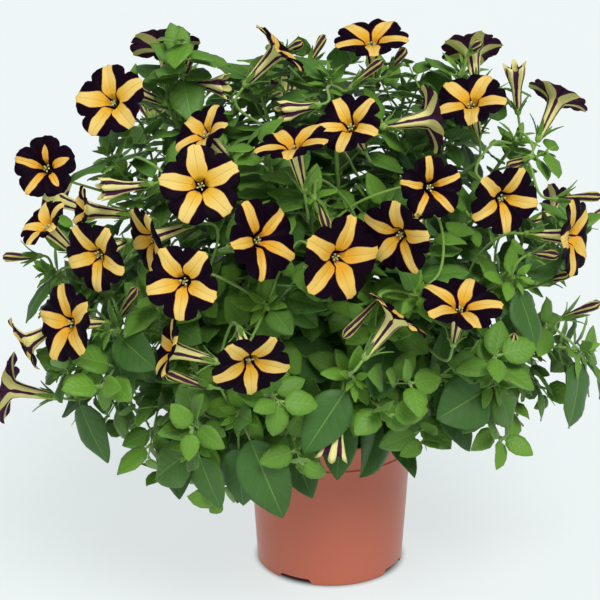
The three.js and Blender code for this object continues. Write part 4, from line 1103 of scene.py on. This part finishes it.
# %% The pot's wall
TURNED = 144
POT_PROFILE = [  # radius and height in mm, from the hub below, up the outside, down to the floor
    (30, 0), (31.5, 5), (46.5, 5), (48, 0), (54.2, 0), (55, 0.8), (55.3, 6), (57.5, 42), (60.3, 91),
    (60.5, 93.8), (61.9, 94.2), (62.7, 94.9), (62.8, 95.7), (62.2, 96.8), (63.2, 104), (64.2, 111),
    (64.9, 113.4), (64.8, 114.6), (64.2, 115),
    (63.4, 114.8), (62.9, 113.8), (62.1, 110), (60.4, 96), (58.6, 92), (54, 12), (52.5, 7.4), (50, 7),
]


def spin(count):
    """Directions all round the upright axis."""
    angle = np.linspace(0, 2 * np.pi, count, endpoint=False)
    return np.stack([np.cos(angle), np.sin(angle), 0 * angle], -1)


def turn_profile(name, profile, materials):
    patches = Patches()
    rings = [radius * MM * spin(TURNED) + [0, 0, height * MM] for radius, height in profile]
    patches.add(np.array(rings), tube_faces(TURNED, len(rings)))
    return patches.make(name, materials)


rim_radius, pot_height = np.array(POT_PROFILE).max(axis=0)
print("the pot is", 2 * rim_radius, "mm across its rim and", pot_height, "mm high")

# %% [markdown]
# Nursery pots are moulded in a plastic that imitates fired clay: even in colour, smooth, with a
# broad dull shine and hardly any grain. Real clay would want pores and pale crusts. Here the colour
# only drifts a little, as it does where the plastic is thicker, and the surface has a very low bump.

# %% The pot's plastic
PLASTIC_GRAIN = 0.2 * MM


def pot_finish():
    finish = Finish("terracotta_plastic")
    tint = finish.mix(finish.noise(9, 4), screen(188, 92, 64), screen(202, 106, 78))
    finish.bump(finish.noise(700, 2), PLASTIC_GRAIN, 0.1)
    return finish.set(Base_Color=tint, Roughness=0.34, Specular_IOR_Level=0.55)


pot = turn_profile("nursery_pot", POT_PROFILE, [pot_finish()])
print("uncut pot:", len(pot.data.polygons), "faces")

# %% [markdown]
# The four notches let water out from under the pot, and the four holes let it out of the pot. They
# could be dark patches on a closed wall, but daylight shows through the real ones. Each is cut
# with a boolean, by a wedge or a drill that is thrown away afterwards.

# %% The pot's notches
NOTCHES, FIRST_NOTCH = 4, 151  # the second is an angle in degrees, turned from x towards y
NOTCH_WIDTH, NOTCH_TOP, NOTCH_HEIGHT = 29 * MM, 23 * MM, 4.5 * MM
WEDGE_REACH, WEDGE_FOOT = (47.2 * MM, 70 * MM), -5 * MM  # past the wall, and under the ground
WEDGE_FACES = [[0, 2, 3, 1], [4, 5, 7, 6], [0, 1, 5, 4], [2, 6, 7, 3], [0, 4, 6, 2], [1, 3, 7, 5]]


def cut(piece, tool):
    change = piece.modifiers.new("cut", "BOOLEAN")
    change.operation, change.solver, change.object = "DIFFERENCE", "EXACT", tool
    bpy.context.view_layer.objects.active = piece
    bpy.ops.object.modifier_apply(modifier="cut")
    bpy.data.objects.remove(tool)


spread = (NOTCH_WIDTH - NOTCH_TOP) / 2 / NOTCH_HEIGHT
block = [(x, sign * (NOTCH_TOP / 2 + spread * (NOTCH_HEIGHT - z)), z)
         for x in WEDGE_REACH for z in (WEDGE_FOOT, NOTCH_HEIGHT) for sign in (-1, 1)]
for k in range(NOTCHES):
    turn = Matrix.Rotation(math.radians(FIRST_NOTCH + 360 / NOTCHES * k), 4, "Z")
    wedge = Patches()
    wedge.add([list(turn @ Vector(corner)) for corner in block], WEDGE_FACES)
    cut(pot, wedge.make("wedge", []))
print("pot with", NOTCHES, "notches:", len(pot.data.polygons), "faces")

# %% The pot's drain holes
HOLES, FIRST_HOLE = 4, 106  # with its angle as for the notches
HOLE_RADIUS, HOLE_RING = 4 * MM, 39 * MM
FLOOR_MIDDLE, DRILL_LENGTH = 6 * MM, 8 * MM
SHARP = math.radians(32)  # edges that bend more than this stay crisp

for k in range(HOLES):
    turn = math.radians(FIRST_HOLE + 360 / HOLES * k)
    place = (HOLE_RING * math.cos(turn), HOLE_RING * math.sin(turn), FLOOR_MIDDLE)
    bpy.ops.mesh.primitive_cylinder_add(vertices=32, radius=HOLE_RADIUS, depth=DRILL_LENGTH,
                                        location=place)
    cut(pot, bpy.context.object)
pot.data.set_sharp_from_angle(angle=SHARP)
print("pot with", HOLES, "drain holes:", len(pot.data.polygons), "faces")

# %% [markdown]
# The soil is peat: dark crumbs, larger and smaller, that rise a little towards the middle. A flat
# disc with a bump would look right only from above, and here its edge shows under the leaves. So
# the top is a fine net of corners that low mounds push up, down to crumbs of a few millimetres,
# and the finest grain alone is left to the finish.

# %% The soil
SOIL_RADII, SOIL_CORNERS = np.linspace(1.2, 60.2, 46) * MM, 120
SOIL_HEIGHT, SOIL_RISE = 103 * MM, 2 * MM  # at the edge, and how much higher the middle is
LEVEL_RIM = 60 * MM  # outside this radius no crumb moves a corner, so that the edge meets the pot
MOUNDS, MOUND_SIZES, MOUND_HEIGHTS, CRUMBS = 90, (2, 6), (-0.5, 1.1), 0.35 * MM
SOIL_UNDER = ((59.8, 99), (53.5, 9), (50, 7.2))  # radius and height in mm, down inside the pot


def soil_finish():
    finish = Finish("peat_soil")
    grain = finish.noise(260, 8)
    tint = finish.mix(grain, screen(38, 26, 18), screen(92, 66, 46))
    finish.bump(grain, 1.0 * MM, 0.8)
    return finish.set(Base_Color=tint, Roughness=0.95)


def soil_piece():
    luck = draws("soil")
    edge = SOIL_RADII[-1]
    place = SOIL_RADII[:, None, None] * spin(SOIL_CORNERS)
    height = SOIL_HEIGHT + SOIL_RISE * (1 - (SOIL_RADII / edge) ** 2)
    bumps = np.zeros((len(SOIL_RADII), SOIL_CORNERS))
    for _ in range(MOUNDS):
        middle = unit(luck.normal(size=3) * [1, 1, 0]) * edge * luck.random() ** 0.5
        away = np.linalg.norm(place - middle, axis=2) / (luck.uniform(*MOUND_SIZES) * MM)
        bumps += luck.uniform(*MOUND_HEIGHTS) * MM * np.exp(-(away**2))
    bumps += CRUMBS * luck.normal(size=bumps.shape)
    place[..., 2] = height[:, None] + bumps * (SOIL_RADII < LEVEL_RIM)[:, None]
    under = [radius * MM * spin(SOIL_CORNERS) + [0, 0, z * MM] for radius, z in SOIL_UNDER]
    rings = np.concatenate([place, under])
    patches = Patches()
    patches.add(rings, tube_faces(SOIL_CORNERS, len(rings))[:, ::-1])
    return patches.make("peat", [soil_finish()])


peat = soil_piece()
print("peat:", len(peat.data.polygons), "faces")

# %% [markdown]
# Now the plant's colours. A leaf is a warm mid green with paler veins, duller and greyer below,
# and brighter where it is young. A photograph of a leaf would give all that at once, but the same
# picture would come back on every leaf. The veins here follow the values that each leaf's corners
# carry, so they turn and bend with it, and the tone makes young leaves yellower.

# %% The leaves' finish
SIDE_VEINS, VEIN_SLANT, VEIN_WOBBLE = 6.5, 1.7, 0.8
SIDE_VEIN_STRENGTH, MIDRIB_STRENGTH = 0.1, 0.55
LEAF_RELIEF = 1.2 * MM


def leaf_veins(finish, along, across):
    """How near a place is to a side vein, and how strongly the veins show there."""
    slant = finish.times(finish.math("POWER", across, 0.8), VEIN_SLANT)
    rib = finish.minus(finish.times(along, SIDE_VEINS), slant)
    rib = finish.plus(rib, finish.times(finish.noise(45, 2), VEIN_WOBBLE))
    rib = finish.math("ABSOLUTE", finish.minus(finish.math("FRACT", rib), 0.5))
    side_vein = finish.times(finish.ramp(rib, 0.44, 0.5), SIDE_VEIN_STRENGTH)
    midrib = finish.times(finish.minus(1.0, finish.ramp(across, 0.01, 0.045)), MIDRIB_STRENGTH)
    return rib, finish.math("MAXIMUM", side_vein, midrib)


def leaf_finish():
    finish = Finish("petunia_leaf")
    along, across, face, tone = (finish.value(name) for name in ("along", "across", "face", "tone"))
    rib, vein = leaf_veins(finish, along, across)
    old = finish.mix(finish.noise(22, 4), screen(42, 82, 30), screen(74, 118, 46))
    young = finish.mix(finish.noise(30, 4), screen(90, 140, 34), screen(122, 168, 50))
    above = finish.mix(vein, finish.mix(tone, old, young), screen(124, 166, 74))
    below = finish.mix(0.35, above, screen(130, 160, 110))
    relief = finish.plus(finish.times(rib, -0.5), finish.noise(150, 3))
    finish.bump(relief, LEAF_RELIEF, 0.5)
    return finish.set(Base_Color=finish.mix(face, above, below), Roughness=0.55,
                      Specular_IOR_Level=0.35, Sheen_Weight=0.08, Sheen_Roughness=0.4)


leaf_material = leaf_finish()
print("leaves:", len(leaf_material.node_tree.nodes), "nodes in their finish")

# %% [markdown]
# Stems are paler than leaves and go from olive at the foot to a fresh green at the tip. Their down
# scatters the light, which a little sheen stands for. The hairs themselves are nearly white, since
# light passes through them; a see-through material would cost a lot of time for so small a thing.

# %% The stems' and hairs' finishes
def stem_finish():
    finish = Finish("petunia_stem")
    old = finish.mix(finish.noise(60, 4), screen(92, 128, 50), screen(118, 152, 66))
    young = finish.mix(finish.noise(60, 4), screen(128, 172, 62), screen(150, 190, 80))
    green = finish.mix(finish.value("tone"), old, young)
    return finish.set(Base_Color=green, Roughness=0.6, Sheen_Weight=0.4, Sheen_Roughness=0.4)


def hair_finish():
    finish = Finish("plant_hairs")
    tint = finish.mix(finish.noise(40, 2), screen(190, 210, 150), screen(225, 235, 200))
    return finish.set(Base_Color=tint, Roughness=0.5)


stem_material, hair_material = stem_finish(), hair_finish()
print("stems:", stem_material.name, "and", hair_material.name)

# %% [markdown]
# The petals carry the plant's whole character: nearly black purple velvet with five arms that run
# from orange in the throat to a creamy yellow at the edge. Each arm has a thin darker vein down its
# middle, faint streaks along it and a rosy line where it meets the dark. A painted image would hold
# all of them, but it would have to be bent to each bloom. Here they are drawn from two values: how
# far a corner is from the arm's middle, and how far inside the arm it lies.

# %% The front of the petals
STREAKS, MIDDLE_VEIN, ROSY_RIM, ROSY_GROUND = 0.28, 0.5, 0.55, 0.5  # how strongly each shows
STREAK_STEPS = (60.0, 3.0, 9.0)  # how fast streaks change across an arm, along it and between arms


def arm_colour(finish, along, across, tone, arm, inside):
    """The yellow of an arm, with its streaks, the vein down its middle and its rosy rim."""
    inner = finish.mix(tone, screen(226, 180, 50), screen(222, 156, 34))
    outer = finish.mix(tone, screen(236, 208, 122), screen(233, 192, 90))
    yellow = finish.mix(finish.ramp(along, 0.2, 0.72), inner, outer)
    steps = zip("XYZ", (across, along, arm), STREAK_STEPS)
    lengthwise = {letter: finish.times(value, step) for letter, value, step in steps}
    place = finish.node("ShaderNodeCombineXYZ", lengthwise).outputs["Vector"]
    streaks = finish.ramp(finish.noise(1.0, 4, at=place), 0.45, 0.75)
    yellow = finish.mix(finish.times(streaks, STREAKS), yellow, screen(206, 128, 44))
    bent = finish.plus(across, finish.times(finish.noise(260, 2), 0.012))
    vein = finish.minus(1.0, finish.ramp(bent, 0.006, 0.019))
    yellow = finish.mix(finish.times(vein, MIDDLE_VEIN), yellow, screen(176, 100, 36))
    rim = finish.minus(1.0, finish.ramp(inside, 0.002, 0.022))
    return finish.mix(finish.times(rim, ROSY_RIM), yellow, screen(216, 138, 78))


def velvet_colour(finish, inside):
    """The dark ground between the arms, rosy where it meets them."""
    ground = finish.mix(finish.noise(70, 3), screen(9, 1, 10), screen(21, 3, 22))
    border = finish.ramp(inside, -0.02, -0.002)
    return finish.mix(finish.times(border, ROSY_GROUND), ground, screen(120, 45, 75))


print("the velvet gives back", round(screen(21, 3, 22)[0] * 100, 1), "% of the red light at most")

# %% [markdown]
# The back of a bloom is another flower: dull plum with greenish cream bands, and lime green ones on
# a furled bud. One finish with two sides keeps the stripes of both in line. Two finishes would need
# the mesh to be parted at the edge, where the colours of front and back have to meet.

# %% The back of the petals, and their finish
RAGGED = 0.035  # how far an arm's border strays, as a share of the bloom's radius
LIME_BUDS = 0.75


def back_colour(finish, tone, stripe):
    dusk = finish.mix(finish.noise(70, 3), screen(58, 26, 54), screen(84, 42, 76))
    pale = finish.mix(finish.noise(50, 3), screen(220, 214, 122), screen(238, 228, 160))
    lime = finish.mix(finish.noise(90, 3), screen(150, 156, 44), screen(188, 186, 84))
    pale = finish.mix(finish.times(finish.ramp(tone, 0.8, 1.0), LIME_BUDS), pale, lime)
    return finish.mix(stripe, dusk, pale)


def petal_finish():
    finish = Finish("petunia_petal")
    along, across, face, tone, arm = (finish.value(name) for name in VALUES)
    ragged = finish.times(finish.minus(finish.noise(190, 4), 0.5), RAGGED)
    inside = finish.plus(finish.minus(arm, across), ragged)
    stripe = finish.ramp(inside, -0.004, 0.006)
    yellow = arm_colour(finish, along, across, tone, arm, inside)
    front = finish.mix(stripe, velvet_colour(finish, inside), yellow)
    tint = finish.mix(face, front, back_colour(finish, tone, stripe))
    return finish.set(Base_Color=tint, Roughness=0.6, Specular_IOR_Level=0.05)


petal_material = petal_finish()
print("petals:", len(petal_material.node_tree.nodes), "nodes in their finish")

# %% [markdown]
# Anthers are dusty with cream pollen, and the stigma is a wet green knob. They are so small that two
# colours with a fine grain are enough, and the tone of each corner picks one of them.

# %% The anthers' finish
def heart_finish():
    finish = Finish("anthers_and_stigma")
    pollen = finish.mix(finish.noise(900, 2), screen(196, 184, 128), screen(228, 218, 170))
    green = finish.mix(finish.noise(500, 2), screen(110, 140, 50), screen(150, 175, 80))
    return finish.set(Base_Color=finish.mix(finish.value("tone"), pollen, green), Roughness=0.5)


heart_material = heart_finish()
print("finishes:", ", ".join(material.name for material in bpy.data.materials))

# %% [markdown]
# The frame holds the large leaves, but a petunia in full growth is closed with small ones, all
# along its stems and in a tuft at each tip. They could be scattered as instances, yet then many
# would pass through the blooms. Here every new leaf is tried against the points that the plant
# already takes up. The points are a net, not the surface itself, and shoots have none, so about
# one new leaf in seven still crosses something, most often a shoot.

# %% The points that a piece takes up
LEAF_ROWS = np.array([0.12, 0.3, 0.5, 0.7, 0.88, 1.0])
TIP_WIDTH_AT = 0.97  # a leaf's points stay this wide at the tip
LIMB_SPOKES, LIMB_RINGS = 14, (0.25, 0.5, 0.75, 1.0)
LIGHT_ROOM = (9, 18, 28, 40)  # mm kept open in front of a bloom
TUBE_POINTS = np.linspace(5, 38, 9) * MM


def leaf_points(leaf):
    """A net of points over a leaf."""
    line = leaf_line(leaf, leaf["petiole"] + (1 - leaf["petiole"]) * LEAF_ROWS)
    half = leaf["width"] / 2 * blade_half(np.minimum(LEAF_ROWS, TIP_WIDTH_AT))
    across = np.outer(half, leaf["side"])
    return np.concatenate([line, line + across, line - across, line + across / 2, line - across / 2])


def bloom_points(bloom):
    """A net of points over a bloom's limb and tube, and over the light in front of it."""
    side = np.cross(bloom["axis"], bloom["top"])
    angle = np.linspace(0, 2 * np.pi, LIMB_SPOKES, endpoint=False)
    spokes = np.outer(np.cos(angle), bloom["top"]) + np.outer(np.sin(angle), side)
    limb = np.concatenate([bloom["centre"] + spokes * bloom["size"] * q for q in LIMB_RINGS])
    front = [limb + bloom["axis"] * ahead * MM for ahead in LIGHT_ROOM]
    tube = bloom["centre"] - np.outer(TUBE_POINTS, bloom["axis"])
    return np.concatenate([limb, *front, tube])


print("a bloom takes up", len(bloom_points(blooms[bloom_nodes[0]])), "points")

# %% [markdown]
# To try thousands of leaves against all those points, the air is divided into small cubes, and each
# cube remembers how far it is from the nearest point that is taken up. A search tree would be more
# exact, yet it has to be built anew after each leaf. Looking up a cube costs nearly nothing.

# %% Room in the bush
MARGIN = 20 * MM  # the cubes reach this far past the frame
POT_ROOM = (69 * MM, 119 * MM)  # radius and height that stay clear round the pot
LOWEST = 92 * MM  # no small leaf hangs lower
POT_SIGHT = (-25 * MM, 95 * MM, 130 * MM)  # from x, to x and up to z, the pot is seen from the front


class Room:
    """How far each small cube of air is from what the plant takes up, as far as REACH."""

    CUBE, REACH = 2.0 * MM, 4.6 * MM

    def __init__(self):
        self.low = np.array(cad_box[0]) - MARGIN
        count = np.ceil((np.array(cad_box[1]) + MARGIN - self.low) / self.CUBE).astype(int)
        self.free = np.full(count, self.REACH, np.float32)
        reach = math.ceil(self.REACH / self.CUBE)
        span = np.arange(-reach, reach + 1)
        steps = np.stack(np.meshgrid(span, span, span), -1).reshape(-1, 3)
        self.steps = steps[np.linalg.norm(steps, axis=1) * self.CUBE <= self.REACH]

    def inside(self, cubes):
        return np.clip(cubes, 0, np.array(self.free.shape) - 1)

    def cube_of(self, points):
        return self.inside(((points - self.low) / self.CUBE).astype(int))

    def take(self, points):
        cubes = self.inside(self.cube_of(points)[:, None] + self.steps)
        middle = self.low + (cubes + 0.5) * self.CUBE
        away = np.linalg.norm(middle - points[:, None], axis=-1).astype(np.float32)
        np.minimum.at(self.free, tuple(np.moveaxis(cubes, -1, 0)), away)

    def allowed(self, points):
        """True where no point is in the pot, in front of it, too low or outside the frame's box."""
        x, y, z = points.T
        low, high = np.array(cad_box)
        in_pot = (np.hypot(x, y) < POT_ROOM[0]) & (z < POT_ROOM[1])
        before_pot = (y < 0) & (x > POT_SIGHT[0]) & (x < POT_SIGHT[1]) & (z < POT_SIGHT[2])
        outside = (points < low).any() or (points > high).any()
        return not (in_pot.any() or before_pot.any() or outside or z.min() < LOWEST)

    def fits(self, points, gap):
        return self.allowed(points) and self.free[tuple(self.cube_of(points).T)].min() > gap


room = Room()
for bloom in blooms.values():
    room.take(bloom_points(bloom))
for stem in stems.values():
    for leaf in stem["leaves"]:
        room.take(leaf_points(leaf))
    for rings in stem["stalks"]:
        room.take(smooth_path([ring.mean(0) for ring in rings], 7 * MM)[1:])
print("room taken up:", round((room.free < room.REACH).mean() * 100), "% of the box")

# %% [markdown]
# A petunia's leaf sits on its stem at an angle and turns its face to the light. New leaves could
# simply point away from the stem, but then half of them would show their grey backs. Here the face
# of each looks upwards and out of the bush, and along its own stem a little.

# %% A new leaf
BUSH_MIDDLE = np.array([0, 0, 0.17])
LIGHT_ABOVE, LIGHT_AHEAD, LIGHT_STRAY = 0.75, 0.3, 0.2  # what turns a leaf's face, besides outwards
DROOPS, PETIOLES, WIDTHS = (0.1, 0.4), (0.1, 0.17), (0.56, 0.7)


def new_leaf(root, growth, turn, rise, length, luck):
    """A leaf that grows from a shoot and turns its face up and out of the bush, to the light."""
    start = unit(np.cross(growth, [0.21, 0.33, 0.92]))
    out = np.cos(turn) * start + np.sin(turn) * np.cross(growth, start)
    along = unit(out * math.cos(rise) + growth * math.sin(rise))
    lit = np.array([0, 0, LIGHT_ABOVE]) + unit(root - BUSH_MIDDLE) + LIGHT_AHEAD * growth
    lit = lit + LIGHT_STRAY * luck.normal(size=3)
    face = unit(lit - along * (lit @ along))
    return dict(root=root, along=along, side=np.cross(face, along), face=face, reach=length,
                droop=luck.uniform(*DROOPS), petiole=luck.uniform(*PETIOLES),
                width=length * luck.uniform(*WIDTHS))


def walk(shoot):
    """Points along a shoot in short steps, and the way that it grows at each of them."""
    path = smooth_path(shoot["path"], 2 * MM)
    return path, unit(np.gradient(path, axis=0))


steps = [len(walk(shoot)[0]) - 1 for stem in stems.values() for shoot in stem["shoots"]]
print("the longest shoot is walked in", max(steps), "steps")

# %% [markdown]
# Leaves are set along shoots and twigs, up to three at a site, and smaller towards the tip. Each
# site is turned by the golden angle from the last, as on a real stem, where it keeps leaves from
# shading each other. A leaf that doesn't fit is tried again, turned a little and a little smaller.
# Scattered instances would be quicker, but they don't know what is in their way.

# %% Small leaves along the shoots
SITE_SPACING = 9.5 * MM
LEAF_GAP = 3.2 * MM
GOLDEN = 2.4  # radians
AT_A_SITE, LEAF_TRIES = 3, 7
TIP_FREE = 2 * MM
ON_SHOOTS = dict(start=34 * MM, longest=52 * MM, shortest=27 * MM)
ON_TWIGS = dict(start=12 * MM, longest=46 * MM, shortest=26 * MM)
small_leaves = {node: [] for node in stems}


def place_leaf(root, growth, turn, length, luck):
    """A new leaf that fits, or None."""
    for attempt in range(LEAF_TRIES):
        size = length * luck.uniform(0.8, 1.1) * (1 - 0.07 * attempt)
        turned = turn + luck.uniform(-0.5, 0.5) + 0.7 * attempt
        leaf = new_leaf(root, growth, turned, luck.uniform(0.1, 0.8), size, luck)
        points = leaf_points(leaf)
        if room.fits(points, LEAF_GAP):
            room.take(points)
            return leaf
    return None


def fill_shoot(shoot, luck, start, longest, shortest):
    """New leaves along one shoot, each with its tone."""
    path, growth = walk(shoot)
    at = lengths_along(path)
    grown = []
    for site, where in enumerate(np.arange(start, at[-1] - TIP_FREE, SITE_SPACING)):
        here = min(int(np.searchsorted(at, where)), len(path) - 1)
        young = where / at[-1]
        length = longest + (shortest - longest) * young
        for k in range(AT_A_SITE):
            turn = GOLDEN * site + 2 * np.pi * k / AT_A_SITE
            leaf = place_leaf(path[here], growth[here], turn, length, luck)
            if leaf:
                grown.append((leaf, 0.15 + 0.65 * young))
    return grown


print("sites lie", SITE_SPACING / MM, "mm apart, with up to", AT_A_SITE, "leaves at each")

# %% [markdown]
# Short side twigs carry many of the small leaves. High up they rise from the shoot into the open
# air; low down they hang over the pot's rim, as a petunia's do, but the side where the pot is seen
# stays open. They could be drawn by hand as curves. As nearly three hundred are needed, each is a
# gentle arc that is tried until four points along it lie in free air.

# %% Side twigs
TWIG_SITES = (25, 8, 9)  # the first site, the steps left free at the tip, and the steps between
TWIG_TRIES, TWIG_GAP = 10, 4.0 * MM
LOW_BUSH = 0.19  # twigs that start lower than this hang
RISING, HANGING = (34 * MM, 62 * MM), (45 * MM, 78 * MM)  # lengths of the twigs
RISE, HANG = 0.2, -0.4  # how far they bend, as a share of their length
TWIG_RADII = [1.1 * MM, 1.0 * MM, 0.8 * MM, 0.6 * MM]
TWIG_SHARES = np.array([0.0, 0.35, 0.7, 1.0])[:, None]


def grow_twigs(shoot, luck):
    path, growth = walk(shoot)
    first, left_free, between = TWIG_SITES
    grown = []
    for here in range(first, len(path) - left_free, between):
        lengths, bend = (HANGING, HANG) if path[here][2] < LOW_BUSH else (RISING, RISE)
        for attempt in range(TWIG_TRIES):
            length = luck.uniform(*lengths) * (1 - 0.05 * attempt)
            turn, rise = luck.uniform(0, 6.3), luck.uniform(0.2, 0.9)
            along = new_leaf(path[here], growth[here], turn, rise, length, luck)["along"]
            fall = [0, 0, bend * length] * TWIG_SHARES**2
            line = path[here] + along * length * TWIG_SHARES + fall
            free = np.array([line[-1], line[-1] * 0.5 + line[-2] * 0.5, line[-2], line[1]])
            if room.fits(free, TWIG_GAP):
                grown.append(dict(path=line, radii=TWIG_RADII))
                room.take(smooth_path(line, 4 * MM)[2:])
                break
    return grown


print("a twig is", round(RISING[0] / MM), "to", round(HANGING[1] / MM), "mm long")

# %% [markdown]
# Every shoot ends in a tuft of narrow young leaves that stand close together. They are allowed to
# sit nearer to each other than the rest, so they are measured against the plant first and take up
# their own room only when the whole tuft has grown. A single star of leaves, copied to each tip,
# would do from afar, but seen from near the copies would show.

# %% Tufts at the tips
TUFT_LEAVES, TUFT_DEPTH, TUFT_GAP = 11, 13 * MM, 1.5 * MM
LOWEST_LENGTH, SHORTER_BY = 28, 19  # mm, of the lowest leaf, and how much shorter the topmost is
LOWEST_WIDTH, NARROWER_BY = 0.47, 0.14  # the same for their widths, as shares of their lengths


def tuft(shoot, luck):
    """The young leaves round the tip of a shoot."""
    tip = shoot["path"][-1]
    growth = unit(shoot["path"][-1] - shoot["path"][-2])
    grown = []
    for k in range(TUFT_LEAVES):
        share = k / (TUFT_LEAVES - 1)
        root = tip - growth * (1 - share) * TUFT_DEPTH
        length = (LOWEST_LENGTH - SHORTER_BY * share) * MM * luck.uniform(0.85, 1.15)
        leaf = new_leaf(root, growth, GOLDEN * k, 0.35 + 0.8 * share, length, luck)
        leaf["width"] = length * (LOWEST_WIDTH - NARROWER_BY * share)
        if room.fits(leaf_points(leaf), TUFT_GAP):
            grown.append((leaf, 0.85 + 0.15 * share))
    for leaf, _ in grown:
        room.take(leaf_points(leaf))
    return grown


for node, stem in stems.items():
    luck = draws("tuft " + node)
    for shoot in stem["shoots"]:
        small_leaves[node] += tuft(shoot, luck)
print("leaves in tufts:", sum(len(leaves) for leaves in small_leaves.values()))

# %% [markdown]
# Now everything grows, in the order in which a plant would give it room: the tufts are there
# already, then come all the twigs, and last the leaves along twigs and shoots. Filling one stem
# completely before the next would leave no air for the later ones.

# %% Growing the twigs and small leaves
twigs = {}
for node, stem in stems.items():
    luck = draws("twigs " + node)
    twigs[node] = [twig for shoot in stem["shoots"] for twig in grow_twigs(shoot, luck)]
for node, stem in stems.items():
    luck = draws("small " + node)
    for twig in twigs[node]:
        small_leaves[node] += fill_shoot(twig, luck, **ON_TWIGS)
    for shoot in stem["shoots"]:
        small_leaves[node] += fill_shoot(shoot, luck, **ON_SHOOTS)
print("twigs:", sum(len(found) for found in twigs.values()))
print("small leaves:", sum(len(leaves) for leaves in small_leaves.values()))

# %% [markdown]
# Everything is ready to be put together. Each leafy stem of the frame is replaced by one mesh with
# its stems, leaves and hairs, and by a second one for its buds where it has any, because buds are
# painted like petals. A mesh for each leaf would be easier to pick apart, but thousands of objects
# would be slow to load. Each piece names the frame's node that it takes the place of.

# %% Dressing the stems
SMALL_LEAF = 32 * MM  # a leaf shorter than this has the fewest rows and columns
OLD_LEAF = 55 * MM  # the longer a large leaf, the older its tone

heads = []
for node, stem in stems.items():
    luck = draws(node)
    green, petals = Patches(), Patches()
    for shoot in stem["shoots"]:
        add_shoot(green, shoot, SHOOT_SIDES, luck)
    for twig in twigs[node]:
        add_shoot(green, twig, TWIG_SIDES, luck)
    for leaf in stem["leaves"]:
        tone = np.clip(0.9 - leaf["reach"] / OLD_LEAF + luck.uniform(-0.1, 0.15), 0, 1)
        add_leaf(green, leaf, WIDE_COLUMNS, LARGE_ROWS, tone, luck)
    for leaf, tone in small_leaves[node]:
        if leaf["reach"] > SMALL_LEAF:
            add_leaf(green, leaf, SMALL_COLUMNS, SMALL_ROWS, tone, luck)
        else:
            add_leaf(green, leaf, STRAP_COLUMNS, FEWEST_ROWS, tone, luck)
    for rings in stem["stalks"]:
        heads.append(add_stalk(green, petals, rings, luck))
    name = node.replace("leafy_stem", "greenery")
    greenery = green.make(name, [stem_material, leaf_material, hair_material])
    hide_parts(node)
    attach(greenery, "root")
    if petals.count:
        buds = petals.make(node.replace("leafy_stem", "buds"), [petal_material])
        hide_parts(node)
        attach(buds, "root")
for kind in ("cup", "bud", "trumpet"):
    print(heads.count(kind), "stalks end in a", kind)

# %% [markdown]
# The blooms are meshes of their own, so that one can be hidden, moved or painted alone. All of them
# could be joined into one, which would load a little faster, but the frame holds each as a node,
# and each fine bloom takes the place of one. The pot and the soil are each one piece already.

# %% Dressing the blooms, the pot and the soil
for node, bloom in blooms.items():
    petals = Patches()
    add_bloom(petals, node, bloom)
    add_heart(petals, node, bloom)
    flower = petals.make(node.replace("bloom", "petals"), [petal_material, heart_material])
    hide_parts(node)
    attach(flower, "root")

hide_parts("pot")
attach(pot, "root")
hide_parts("soil")
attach(peat, "root")
print("dressed:", len(stems), "leafy stems,", len(blooms), "blooms, the pot and the soil")

# %% [markdown]
# Last, the triangles of all the shown pieces are counted. The finished plant should fill the box
# that the frame had at the start: hairs and ruffles may pass it by a few millimetres, and no more.

# %% The count of triangles, and the end
faces_now = sum(len(f.vertices) - 2 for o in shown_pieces() for f in o.data.polygons)
print("triangles:", faces_now)
